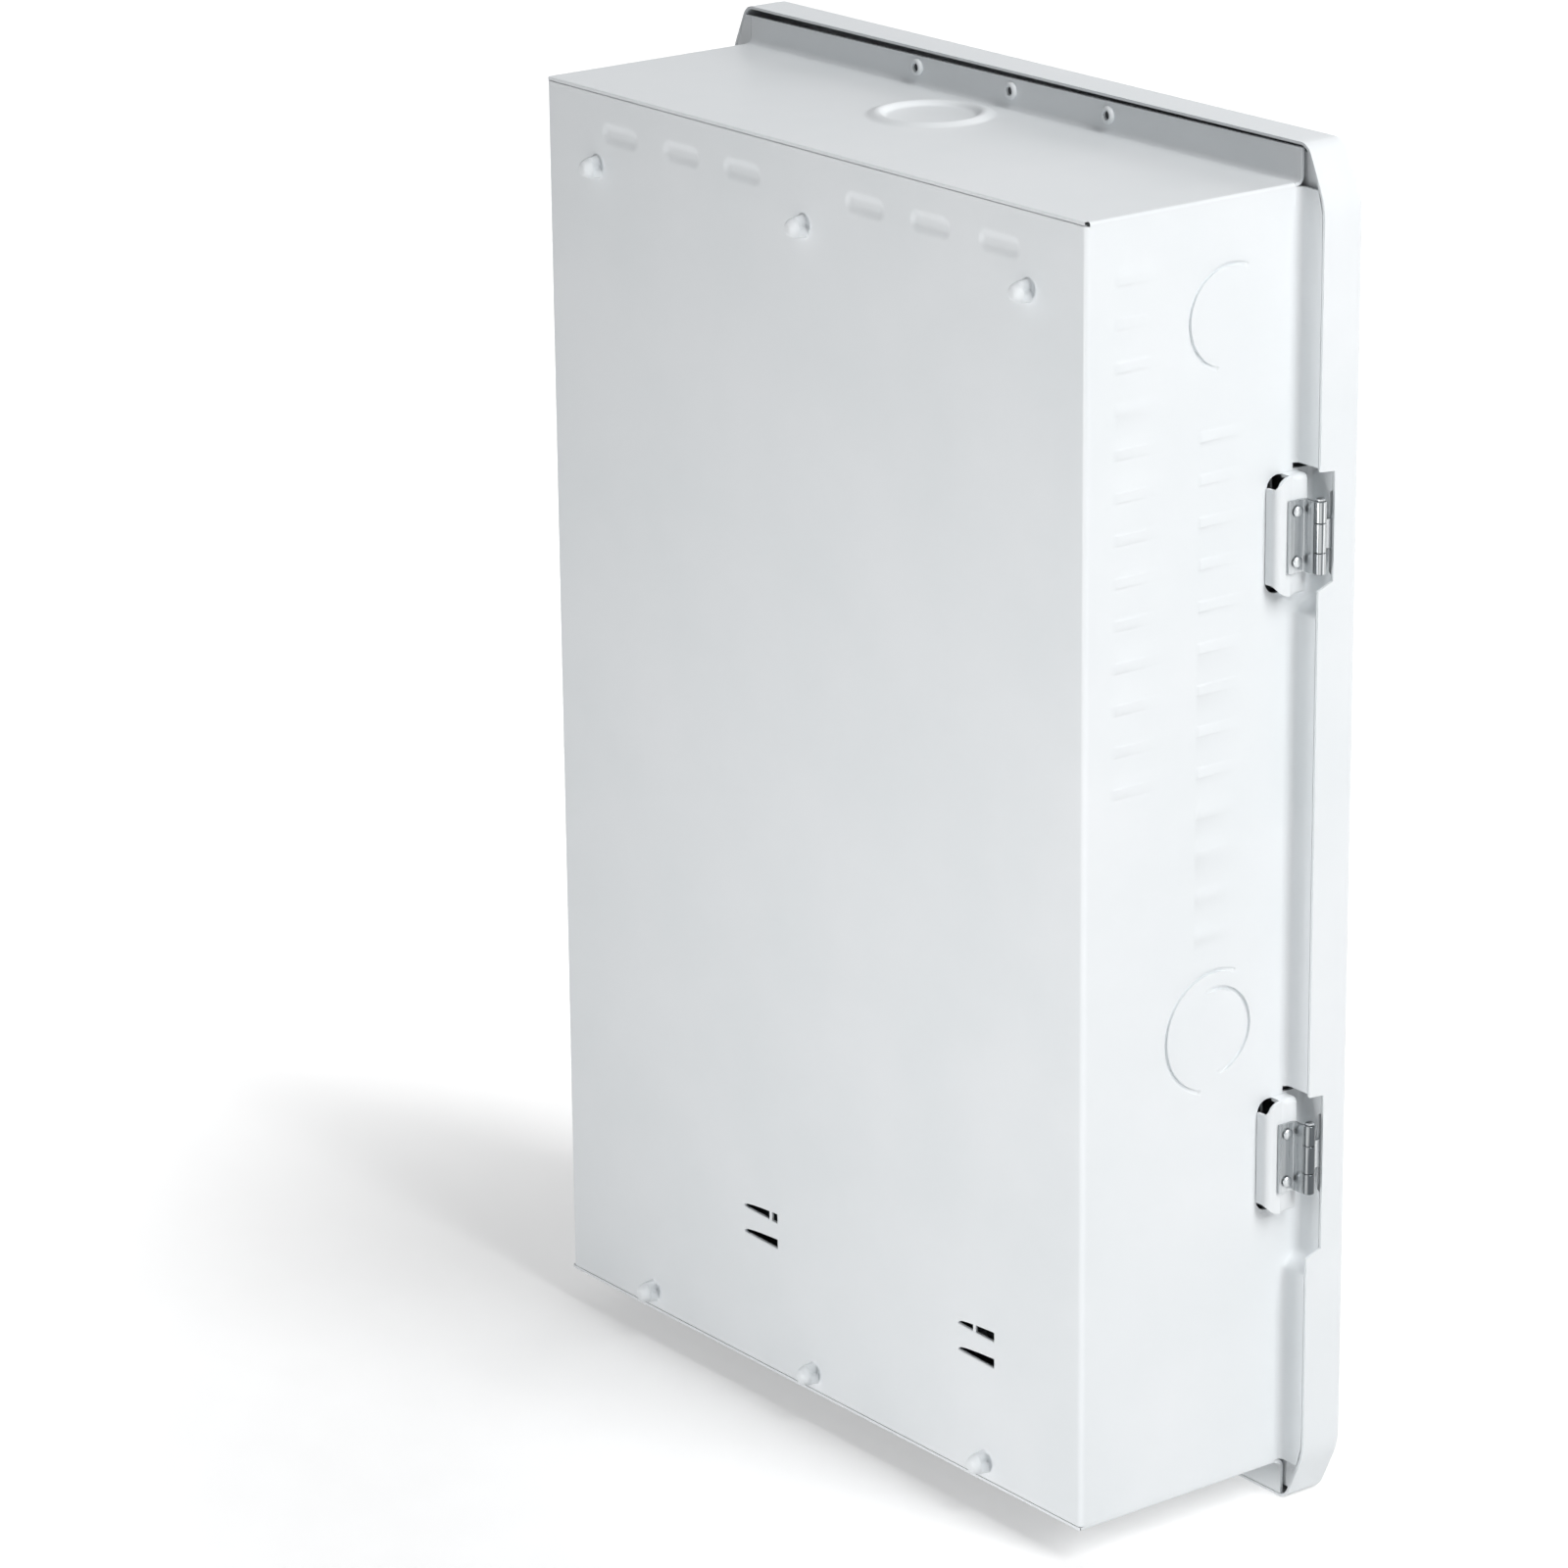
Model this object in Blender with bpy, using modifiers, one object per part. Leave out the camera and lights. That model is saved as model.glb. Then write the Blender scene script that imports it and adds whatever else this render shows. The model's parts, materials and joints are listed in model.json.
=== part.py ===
"""Residential load center: a wall-hung sheet-metal panel with a hinged door and its breakers.

Metres, +Z up. The wall is the plane y = 0, the door faces -Y and its hinges are on the -X side.
Depths are measured forwards from the outer face of the back, and forwards() turns one into y.
"""
import math

import bmesh
import bpy
from mathutils import Matrix, Vector

# Enclosure sheet metal
BOX_WIDTH = 0.368
BOX_HEIGHT = 0.566
BOX_DEPTH = 0.113
BOX_SHEET = 0.0015
BACK_BEND = 0.0018
FLANGE_WIDTH = 0.012
FLANGE_BEND = 0.003
FLANGE_CORNER_CUT = 0.003
SEAT_GAP = 0.0003
BEND_STEPS = 3

# Drawn standoff bosses on the back
BOSS_HEIGHT = 0.0085
BOSS_TIP_RADIUS = 0.0034
BOSS_BASE_RADIUS = 0.0064
BOSS_WALL = 0.0014
UPPER_BOSS_DROP = 0.0344
UPPER_BOSS_INSET = 0.037
LOWER_BOSS_RISE = 0.0098
LOWER_BOSS_INSET = 0.064

# Dimples and vent slits in the back
DIMPLE_SPREADS = (0.042, 0.085, 0.1295)
DIMPLE_DROP = 0.0183
DIMPLE_LENGTH = 0.026
DIMPLE_WIDTH = 0.009
DIMPLE_DEPTH = 0.0006
SLIT_PLACES = ((0.038, 0.068), (-0.114, 0.0623))
SLIT_PITCH = 0.0122
SLIT_LENGTH = 0.024
SLIT_WIDTH = 0.0044

# Lances and knockouts in the side walls
LANCE_COUNT = 13
LANCE_PITCH = 0.0179
LANCE_COLUMNS = ((0.015, 0.026), (0.0595, 0.098))
LANCE_LENGTH = 0.025
LANCE_WIDTH = 0.0048
LANCE_RISE = 0.0012
SIDE_KNOCKOUTS = ((0.076, 0.050, 0.022), (0.072, 0.357, 0.027), (0.072, 0.357, 0.021))
KNOCKOUT_GROOVE = 0.0009
KNOCKOUT_CUT = 0.0006

# Conduit hub on the top and knockouts in the bottom
HUB_OFFSET = 0.013
HUB_DEPTH = 0.079
HUB_OUTER_RADIUS = 0.0285
HUB_INNER_RADIUS = 0.0225
HUB_RISE = 0.0036
HUB_RECESS = 0.0007
BOTTOM_KNOCKOUTS = ((-0.115, 0.072, 0.022), (-0.045, 0.072, 0.027), (-0.045, 0.072, 0.021),
                    (0.035, 0.072, 0.0175), (0.105, 0.072, 0.014))

# Hinges, measured from the top of the box and outwards from the side wall
HINGE_DROPS = {"upper": 0.146, "lower": 0.420}
FLANGE_JOGGLE = 0.008
JOGGLE_BELOW = {"upper": 0.036, "lower": 0.055}
JOGGLE_TIP_ROOM = 0.0008
JOGGLE_STEP = 0.0012
RELIEF_MARGIN = 0.0007
BRACKET_SHEET = 0.0015
BRACKET_HEIGHT = 0.051
BRACKET_STAND = 0.007
BRACKET_LENGTH = 0.0168
BRACKET_CORNER = 0.008
BRACKET_BEND = 0.002
LEAF_SHEET = 0.0012
LEAF_HEIGHT = 0.031
LEAF_LENGTH = 0.011
AXIS_BEYOND_GAP = 0.0021
AXIS_BEHIND_FLANGE = 0.0005
KNUCKLE_RADIUS = 0.0026
KNUCKLE_MIDDLE = 0.0124
PIN_RADIUS = 0.0012
PIN_HEAD_RADIUS = 0.002
PIN_HEAD_HEIGHT = 0.001
DOOR_LEAF_LENGTH = 0.016
RIVET_MARGIN = 0.0047
RIVET_HEAD_RADIUS = 0.0023
RIVET_HEAD_HEIGHT = 0.0014
RIVET_SHANK_RADIUS = 0.0015

# Drip rail behind the top of the door
DRIP_RAIL_LENGTH = 0.160
DRIP_RAIL_SHEET = 0.001
DRIP_RAIL_REACH = 0.011
DRIP_RAIL_RISE = 0.0035
DRIP_RIVET_MARGIN = 0.016

# Door pan
DOOR_SHEET = 0.0012
DOOR_SIDE_GAP = 0.0014
DOOR_END_GAP = 0.0032
DOOR_REACH = 0.023
DOOR_CLIP_WIDTH = 0.011
DOOR_CLIP_HEIGHT = 0.024
DOOR_BEND = 0.0065
DOOR_BEND_STEPS = 3
DOOR_EDGE = 0.005
DOOR_NOTCH_DEPTH = FLANGE_JOGGLE
DOOR_NOTCH_ABOVE = 0.027
DOOR_NOTCH_BELOW = {"upper": 0.0235, "lower": 0.0465}

# Quarter-turn latch and its strike
LATCH_INSET = 0.026
LATCH_Z = 0.0
ESCUTCHEON_RADIUS = 0.017
ESCUTCHEON_HEIGHT = 0.002
SLEEVE_RADIUS = 0.0076
SLEEVE_LENGTH = 0.006
SHAFT_RADIUS = 0.005
KNOB_RADIUS = 0.0135
KNOB_HEIGHT = 0.003
GRIP_LENGTH = 0.024
GRIP_WIDTH = 0.006
GRIP_HEIGHT = 0.0065
SQUARE_SIDE = 0.006
THREAD_RADIUS = 0.0022
CAM_SHEET = 0.0024
CAM_WIDTH = 0.014
CAM_TIP_CLEARANCE = 0.0012
LATCH_NUT_RADIUS = 0.005
LATCH_NUT_HEIGHT = 0.0026
STRIKE_SHEET = 0.0015
STRIKE_LIP = 0.014
STRIKE_HEIGHT = 0.044
STRIKE_LEG = 0.0085
STRIKE_BEND = 0.0015

# Deadfront cover and its rails
DEADFRONT_SHEET = 0.0012
DEADFRONT_SETBACK = 0.008
DEADFRONT_SIDE_MARGIN = 0.0045
DEADFRONT_END_MARGIN = 0.003
DEADFRONT_RETURN = 0.012
DEADFRONT_BEND = 0.002
TWISTOUT_DEPTH = 0.0005
WINDOW_GAP = 0.0006
RAIL_SHEET = 0.0015
RAIL_FACE = 0.020
RAIL_LEG = 0.014
RAIL_INSET = 0.012
COVER_SCREW_MARGIN = 0.028
COVER_SCREW_RADIUS = 0.002
COVER_SCREW_HEAD_RADIUS = 0.0042
COVER_SCREW_HEAD = 0.002
COVER_SCREW_LENGTH = 0.009

# Interior pan on weld studs
PAN_SHEET = 0.0015
PAN_HALF_WIDTH = 0.135
PAN_FOOT = 0.013
PAN_STANDOFF = 0.0145
PAN_TOP_MARGIN = 0.033
PAN_BOTTOM_MARGIN = 0.048
PAN_BEND = 0.002
STUD_RADIUS = 0.0025
STUD_LENGTH = 0.0085
STUD_Z = 0.170
PAN_NUT_RADIUS = 0.0048
PAN_NUT_HEIGHT = 0.0035

# Bus assembly
ROW_PITCH = 0.0254
ROW_COUNT = 10
FIRST_ROW_DROP = 0.188
BASE_PLATE = 0.0067
BASE_HALF_WIDTH = 0.080
SPINE_HALF_WIDTH = 0.017
BUS_WIDTH = 0.010
BUS_CENTRE = 0.010
BUS_SHEET = 0.003
STAB_HALF_LENGTH = 0.012
STAB_SHEET = 0.0025
STAB_HEIGHT = 0.010
STAB_LIFT = 0.002
CARRY_RAIL_MARGIN = 0.004
CARRY_RAIL_WIDTH = 0.010
NEUTRAL_X = 0.118
NEUTRAL_WIDTH = 0.010
NEUTRAL_HEIGHT = 0.012
NEUTRAL_TOP_DROP = 0.005
NEUTRAL_SCREWS = 11
NEUTRAL_PITCH = 0.018
NEUTRAL_ARM_LIFT = 0.0127
NEUTRAL_ARM_WIDTH = 0.012
NEUTRAL_ARM_ROWS = (1.5, 7.5)
GROUND_RISE = 0.018
GROUND_SCREWS = 8
TERMINAL_HOLE_RADIUS = 0.0022
TERMINAL_SCREW_RADIUS = 0.0026
TERMINAL_SCREW_HEIGHT = 0.0012

# Branch breakers
BREAKER_ROWS = 3
BREAKER_REAR = 0.038
BREAKER_INNER_X = 0.004
BREAKER_LENGTH = 0.076
BREAKER_GAP = 0.0004
BREAKER_SHOULDER = 0.0028
NOSE_INNER_X = 0.022
NOSE_LENGTH = 0.044
NOSE_PROUD = 0.004
STAB_CLEARANCE = 0.0005
HANDLE_HALF_WIDTH = 0.0042
HANDLE_DRUM_RADIUS = 0.0042
HANDLE_THICKNESS = 0.0044
HANDLE_REACH = 0.0146
HANDLE_TILT = math.radians(20)
HANDLE_SLOT_HALF = 0.0085
LUG_HOLE_RADIUS = 0.0032

# Main breaker
MAIN_HALF_WIDTH = 0.032
MAIN_LENGTH = 0.102
MAIN_GAP_ABOVE_ROWS = 0.012
MAIN_NOSE_HALF_WIDTH = 0.026
MAIN_NOSE_LENGTH = 0.052
MAIN_SHELF = 0.024
MAIN_SHELF_DEPTH = 0.070
MAIN_HANDLE_HALF_WIDTH = 0.009
MAIN_DRUM_RADIUS = 0.006
MAIN_HANDLE_THICKNESS = 0.007
MAIN_HANDLE_REACH = 0.020
MAIN_SLOT_HALF = 0.013
LINE_LUG_X = 0.0155
LINE_LUG_WIDTH = 0.020
LINE_LUG_LENGTH = 0.022
LINE_LUG_HEIGHT = 0.020
LINE_LUG_HOLE_RADIUS = 0.007

# Facets on round pieces
FINE_FACETS = 24
ROUND_FACETS = 12
SMALL_FACETS = 8

# Places worked out from the sizes above
BACK_Y = -BOSS_HEIGHT
SIDE_X = BOX_WIDTH / 2
END_Z = BOX_HEIGHT / 2
WALL_END_Z = END_Z - BOX_SHEET - SEAT_GAP
INNER_X = SIDE_X - BOX_SHEET
FLANGE_FRONT = BOX_DEPTH + BOX_SHEET
WALL_EDGE = BOX_DEPTH + BOX_SHEET / 2 - FLANGE_BEND
AXIS_DEPTH = BOX_DEPTH - AXIS_BEHIND_FLANGE
AXIS_OUT = FLANGE_WIDTH + DOOR_SIDE_GAP + AXIS_BEYOND_GAP
AXIS_X = -SIDE_X - AXIS_OUT
DOOR_FRONT = BOX_DEPTH + DOOR_REACH
DOOR_HALF_WIDTH = SIDE_X + FLANGE_WIDTH + DOOR_SIDE_GAP + DOOR_SHEET
DOOR_HALF_HEIGHT = END_Z + FLANGE_WIDTH + DOOR_END_GAP + DOOR_SHEET
DEADFRONT_FACE = BOX_DEPTH - DEADFRONT_SETBACK
DEADFRONT_REAR = DEADFRONT_FACE - DEADFRONT_SHEET
DEADFRONT_HALF_WIDTH = INNER_X - DEADFRONT_SIDE_MARGIN
DEADFRONT_HALF_HEIGHT = END_Z - BOX_SHEET - DEADFRONT_END_MARGIN
COVER_SCREW_X = DEADFRONT_HALF_WIDTH - COVER_SCREW_MARGIN
RAIL_FRONT = DEADFRONT_REAR - SEAT_GAP
RAIL_Z = DEADFRONT_HALF_HEIGHT - RAIL_INSET - RAIL_FACE / 2
PAN_TOP = END_Z - PAN_TOP_MARGIN
PAN_BOTTOM = PAN_BOTTOM_MARGIN - END_Z
PAN_REAR = BOX_SHEET + PAN_STANDOFF
PAN_FRONT = PAN_REAR + PAN_SHEET
BASE_REAR = PAN_FRONT + SEAT_GAP
CARRY_RAIL_OUT = BASE_HALF_WIDTH - CARRY_RAIL_MARGIN
CARRY_TOP = BREAKER_REAR - SEAT_GAP
SHOULDER_DEPTH = DEADFRONT_REAR - BREAKER_SHOULDER
NOSE_DEPTH = DEADFRONT_FACE + NOSE_PROUD
FIRST_ROW_Z = END_Z - FIRST_ROW_DROP
ROWS = [FIRST_ROW_Z - row * ROW_PITCH for row in range(ROW_COUNT)]
BASE_TOP = ROWS[0] + ROW_PITCH / 2
BASE_BOTTOM = ROWS[-1] - ROW_PITCH / 2
NEUTRAL_TOP = FIRST_ROW_Z - NEUTRAL_TOP_DROP
GROUND_Z = PAN_BOTTOM + GROUND_RISE
MAIN_BOTTOM = BASE_TOP + MAIN_GAP_ABOVE_ROWS
MAIN_TOP = MAIN_BOTTOM + MAIN_LENGTH
MAIN_MIDDLE = (MAIN_BOTTOM + MAIN_TOP) / 2
STAB_TIP = BREAKER_REAR + STAB_HEIGHT
BUS_REAR = BREAKER_REAR - SEAT_GAP - STAB_LIFT - BUS_SHEET - SEAT_GAP
LATCH_X = SIDE_X - LATCH_INSET
STRIKE_LEG_X = INNER_X - SEAT_GAP - STRIKE_SHEET
CAM_REACH = STRIKE_LEG_X - CAM_TIP_CLEARANCE - LATCH_X
CAM_FRONT = BOX_DEPTH - 2 * SEAT_GAP
CAM_REAR = CAM_FRONT - CAM_SHEET
RIVET_HOLE_RADIUS = RIVET_SHANK_RADIUS + SEAT_GAP
RIVET_SPACING = LEAF_HEIGHT - 2 * RIVET_MARGIN
DRIP_RIVET_SPREAD = DRIP_RAIL_LENGTH / 2 - DRIP_RIVET_MARGIN
DRIP_RIVET_Z = END_Z + (FLANGE_WIDTH + DRIP_RAIL_RISE) / 2

for leftover in list(bpy.data.objects):
    bpy.data.objects.remove(leftover, do_unlink=True)
parts = bpy.data.collections.new("residential_load_center")
cutters = bpy.data.collections.new("cutters")
for collection in (parts, cutters):
    bpy.context.scene.collection.children.link(collection)


def forwards(depth):
    """World y of a depth measured forwards from the back's outer face."""
    return BACK_Y - depth


def finish(name, colour, roughness, metallic=0.0):
    """Make a material from a colour, a roughness and a metallic value."""
    material = bpy.data.materials.new(name)
    material.use_nodes = True
    shader = material.node_tree.nodes["Principled BSDF"]
    shader.inputs["Base Color"].default_value = (*colour, 1.0)
    shader.inputs["Roughness"].default_value = roughness
    shader.inputs["Metallic"].default_value = metallic
    return material


WHITE_PAINT = finish("white_powder_coat", (0.80, 0.82, 0.84), 0.45)
ZINC_STEEL = finish("zinc_plated_steel", (0.62, 0.63, 0.64), 0.30, 1.0)
GALVANISED = finish("galvanised_sheet", (0.55, 0.57, 0.58), 0.45, 1.0)
GREY_COVER = finish("grey_cover_paint", (0.55, 0.57, 0.58), 0.50)
BLACK_MOULDING = finish("black_moulding", (0.03, 0.03, 0.032), 0.45)
DARK_BASE = finish("insulating_base", (0.10, 0.10, 0.11), 0.55)
TINNED_BUS = finish("tinned_aluminium", (0.70, 0.70, 0.68), 0.35, 1.0)
BARE_ALUMINIUM = finish("bare_aluminium", (0.75, 0.75, 0.76), 0.40, 1.0)
PALE_HANDLE = finish("pale_handle", (0.75, 0.74, 0.70), 0.45)


def add_box(bm, low, high):
    """Add a box between two opposite corners."""
    low, high = Vector(low), Vector(high)
    size = [abs(side) for side in high - low]
    made = bmesh.ops.create_cube(bm, size=1.0)
    place = Matrix.Translation((low + high) / 2) @ Matrix.Diagonal((*size, 1.0))
    bmesh.ops.transform(bm, matrix=place, verts=made["verts"])


def add_rod(bm, start, end, radius, facets):
    """Add a round rod between the centres of its two ends."""
    start, end = Vector(start), Vector(end)
    length = end - start
    made = bmesh.ops.create_cone(bm, cap_ends=True, segments=facets, radius1=radius,
                                 radius2=radius, depth=length.length)
    turn = Vector((0, 0, 1)).rotation_difference(length).to_matrix().to_4x4()
    place = Matrix.Translation((start + end) / 2) @ turn
    bmesh.ops.transform(bm, matrix=place, verts=made["verts"])


def add_prism(bm, outline, sweep):
    """Add the solid that a flat outline leaves when it is swept along a vector."""
    corners = [bm.verts.new(point) for point in outline]
    face = bm.faces.new(corners)
    swept = bmesh.ops.extrude_face_region(bm, geom=[face], use_keep_orig=True)
    moved = [item for item in swept["geom"] if isinstance(item, bmesh.types.BMVert)]
    bmesh.ops.translate(bm, vec=Vector(sweep), verts=moved)


def add_turned(bm, profile, place, axis, facets, ring=False):
    """Add a turned solid. The profile holds (radius, height) points along the axis."""
    turn = Vector((0, 0, 1)).rotation_difference(Vector(axis)).to_matrix().to_4x4()
    matrix = Matrix.Translation(Vector(place)) @ turn
    points = [bm.verts.new((radius, 0, height)) for radius, height in profile]
    pairs = list(zip(points, points[1:]))
    if ring:
        pairs.append((points[-1], points[0]))
    edges = [bm.edges.new(pair) for pair in pairs]
    bmesh.ops.spin(bm, geom=points + edges, cent=(0, 0, 0), axis=(0, 0, 1), angle=math.tau,
                   steps=facets, use_merge=True)
    made = set(points)
    stack = list(points)
    while stack:
        for edge in stack.pop().link_edges:
            for vert in edge.verts:
                if vert not in made:
                    made.add(vert)
                    stack.append(vert)
    bmesh.ops.remove_doubles(bm, verts=list(made), dist=1e-6)
    made = [vert for vert in made if vert.is_valid]
    bmesh.ops.transform(bm, matrix=matrix, verts=made)


def make_object(name, bm, collection, origin=(0.0, 0.0, 0.0)):
    """Turn a bmesh into an object whose origin is at a given point."""
    bmesh.ops.recalc_face_normals(bm, faces=bm.faces)
    bmesh.ops.translate(bm, vec=-Vector(origin), verts=bm.verts)
    mesh = bpy.data.meshes.new(name)
    bm.to_mesh(mesh)
    bm.free()
    item = bpy.data.objects.new(name, mesh)
    item.location = origin
    collection.objects.link(item)
    return item


def make_part(name, bm, material, origin=(0.0, 0.0, 0.0), smooth=False):
    """Make a named sub-part with its material."""
    item = make_object(name, bm, parts, origin)
    item.data.materials.append(material)
    if smooth:
        item.data.shade_smooth()
        item.data.set_sharp_from_angle(angle=math.radians(35))
    return item


def combine(item, bm, operation):
    """Cut a tool shape out of a part, or join it to the part."""
    tool = make_object(item.name + "_" + operation.lower(), bm, cutters)
    tool.hide_render = True
    tool.display_type = "WIRE"
    change = item.modifiers.new(operation.title(), "BOOLEAN")
    change.operation = operation
    change.object = tool
    change.solver = "EXACT"


def bent_path(points, radii):
    """Round each right-angled corner of an open path with an arc."""
    points = [Vector(point) for point in points]
    path = [points[0]]
    for before, corner, after, radius in zip(points, points[1:], points[2:], radii):
        start = corner + (before - corner).normalized() * radius
        end = corner + (after - corner).normalized() * radius
        centre = start + end - corner
        for step in range(BEND_STEPS + 1):
            angle = math.pi / 2 * step / BEND_STEPS
            path.append(centre + (start - centre) * math.cos(angle) + (end - centre) * math.sin(angle))
    path.append(points[-1])
    return path


def folded_sheet(name, levels, to_space, sheet, material):
    """Sheet metal folded along a path that may change from level to level: a surface given thickness."""
    bm = bmesh.new()
    rows = [[bm.verts.new(to_space(u, v, level)) for u, v in path] for level, path in levels]
    for row, above in zip(rows, rows[1:]):
        for cell in zip(row, row[1:], above[1:], above):
            bm.faces.new(cell)
    item = make_part(name, bm, material)
    thickness = item.modifiers.new("Thickness", "SOLIDIFY")
    thickness.thickness = sheet
    thickness.offset = 0.0
    thickness.use_even_offset = True
    return item


def in_plan(x, depth, z):
    """A point from x, a depth and a height."""
    return Vector((x, forwards(depth), z))


def in_side(depth, z, x):
    """The same point, from a path drawn in depth and height."""
    return Vector((x, forwards(depth), z))


def rounded_outline(half_width, half_height, radius, facets):
    """Corner arcs of a rounded rectangle, as (x, z) points."""
    outline = []
    for quarter, (side, end) in enumerate(((1, 1), (-1, 1), (-1, -1), (1, -1))):
        for step in range(facets + 1):
            angle = math.pi / 2 * (quarter + step / facets)
            outline.append((side * (half_width - radius) + radius * math.cos(angle),
                            end * (half_height - radius) + radius * math.sin(angle)))
    return outline


def groove_profile(radius, low, high):
    """Section of a ring-shaped groove at a radius, between two heights."""
    inner = radius - KNOCKOUT_GROOVE
    return [(inner, low), (radius, low), (radius, high), (inner, high)]


def hinge_z(place):
    """Height of a hinge's middle."""
    return END_Z - HINGE_DROPS[place]


def joggle_span(place):
    """Heights between which the flange steps forward to make room for a hinge."""
    return hinge_z(place) - JOGGLE_BELOW[place], hinge_z(place) + BRACKET_HEIGHT / 2 + RELIEF_MARGIN


def outwards(distance):
    """World x of a distance outwards from the hinge-side wall."""
    return -SIDE_X - distance


def on_axis(z):
    """Point of the door's hinge axis at a height."""
    return Vector((AXIS_X, forwards(AXIS_DEPTH), z))


def back_and_sides():
    """Back and both side walls bent from one sheet, with drawn and punched features."""
    middle = BOX_SHEET / 2
    flange = BOX_DEPTH + middle
    half = [(SIDE_X + FLANGE_WIDTH, flange), (SIDE_X - middle, flange), (SIDE_X - middle, middle)]
    corners = half + [(-x, depth) for x, depth in reversed(half)]
    path = bent_path(corners, (FLANGE_BEND, BACK_BEND, BACK_BEND, FLANGE_BEND))
    joggled = corners[:-2] + [(outwards(-middle), flange + FLANGE_JOGGLE),
                              (outwards(FLANGE_WIDTH - JOGGLE_TIP_ROOM), flange + FLANGE_JOGGLE)]
    forward = bent_path(joggled, (FLANGE_BEND, BACK_BEND, BACK_BEND, FLANGE_BEND))
    levels = [(-WALL_END_Z, path)]
    for place in ("lower", "upper"):
        bottom, top = joggle_span(place)
        levels += [(bottom, path), (bottom + FLANGE_JOGGLE, forward),
                   (top + RELIEF_MARGIN, forward), (top + RELIEF_MARGIN + JOGGLE_STEP, path)]
    levels.append((WALL_END_Z, path))
    item = folded_sheet("back_and_sides", levels, in_plan, BOX_SHEET, WHITE_PAINT)

    added = bmesh.new()
    removed = bmesh.new()
    bosses = [(spread * (SIDE_X - UPPER_BOSS_INSET), END_Z - UPPER_BOSS_DROP) for spread in (-1, 0, 1)]
    bosses += [(spread * (SIDE_X - LOWER_BOSS_INSET), LOWER_BOSS_RISE - END_Z) for spread in (-1, 0, 1)]
    shoulder = (BOSS_TIP_RADIUS + BOSS_BASE_RADIUS) / 2
    for x, z in bosses:
        outside = [(0, -middle), (BOSS_BASE_RADIUS, -middle), (BOSS_BASE_RADIUS, 0),
                   (shoulder, BOSS_HEIGHT * 0.35), (shoulder - BOSS_WALL / 3, BOSS_HEIGHT * 0.8),
                   (BOSS_TIP_RADIUS, BOSS_HEIGHT), (0, BOSS_HEIGHT)]
        inside = [(0, -BOX_SHEET * 2), (shoulder - BOSS_WALL, -BOX_SHEET * 2),
                  (shoulder - BOSS_WALL, BOSS_HEIGHT * 0.35),
                  (BOSS_TIP_RADIUS - BOSS_WALL, BOSS_HEIGHT - BOSS_WALL), (0, BOSS_HEIGHT - BOSS_WALL)]
        add_turned(added, outside, in_plan(x, 0, z), (0, 1, 0), ROUND_FACETS)
        add_turned(removed, inside, in_plan(x, 0, z), (0, 1, 0), SMALL_FACETS)
    for x in (-1, 1):
        for z in (-STUD_Z, STUD_Z):
            centre = x * (PAN_HALF_WIDTH + PAN_FOOT / 2)
            add_rod(added, in_plan(centre, middle, z), in_plan(centre, BOX_SHEET + STUD_LENGTH, z),
                    STUD_RADIUS, SMALL_FACETS)
    for depth, drop in LANCE_COLUMNS:
        for step in range(LANCE_COUNT):
            top = END_Z - drop - step * LANCE_PITCH + LANCE_WIDTH / 2
            ramp = [in_plan(outwards(-middle), depth, top), in_plan(outwards(LANCE_RISE), depth, top),
                    in_plan(outwards(0), depth + LANCE_LENGTH, top),
                    in_plan(outwards(-middle), depth + LANCE_LENGTH, top)]
            add_prism(added, ramp, (0, 0, -LANCE_WIDTH))

    for spread in DIMPLE_SPREADS:
        for side in (-1, 1):
            outline = rounded_outline(DIMPLE_LENGTH / 2, DIMPLE_WIDTH / 2, DIMPLE_WIDTH / 2, 4)
            face = [in_plan(side * spread + x, DIMPLE_DEPTH, END_Z - DIMPLE_DROP + z) for x, z in outline]
            add_prism(removed, face, (0, DIMPLE_DEPTH * 2, 0))
    for x, rise in SLIT_PLACES:
        for row in (-0.5, 0.5):
            z = rise - END_Z + row * SLIT_PITCH
            wedge = [(x + SLIT_LENGTH / 2, z), (x - SLIT_LENGTH / 2, z + SLIT_WIDTH / 2),
                     (x - SLIT_LENGTH / 2, z - SLIT_WIDTH / 2)]
            add_prism(removed, [in_plan(px, -BOX_SHEET, pz) for px, pz in wedge], (0, -BOX_SHEET * 3, 0))
    for side in (-1, 1):
        for depth, drop, radius in SIDE_KNOCKOUTS:
            add_turned(removed, groove_profile(radius, -KNOCKOUT_CUT, KNOCKOUT_CUT),
                       in_plan(side * SIDE_X, depth, END_Z - drop), (side, 0, 0), FINE_FACETS, ring=True)
        for end in (-1, 1):
            tip = side * (SIDE_X + FLANGE_WIDTH)
            slope = DOOR_CLIP_HEIGHT / DOOR_CLIP_WIDTH
            cut = [(tip + side * BOX_SHEET, WALL_END_Z - (FLANGE_CORNER_CUT + BOX_SHEET) * slope),
                   (tip + side * BOX_SHEET, WALL_END_Z + BOX_SHEET),
                   (tip - side * (FLANGE_CORNER_CUT + BOX_SHEET / slope), WALL_END_Z + BOX_SHEET)]
            add_prism(removed, [in_plan(x, BOX_DEPTH - BOX_SHEET, end * z) for x, z in cut],
                      (0, -BOX_SHEET * 3, 0))
    for place in HINGE_DROPS:
        top = joggle_span(place)[1]
        add_box(removed, in_plan(outwards(-BOX_SHEET * 2), WALL_EDGE, top),
                in_plan(outwards(FLANGE_WIDTH + BOX_SHEET), FLANGE_FRONT + FLANGE_JOGGLE + BOX_SHEET,
                        top + RELIEF_MARGIN * 2 + JOGGLE_STEP))
    combine(item, added, "UNION")
    combine(item, removed, "DIFFERENCE")


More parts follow.
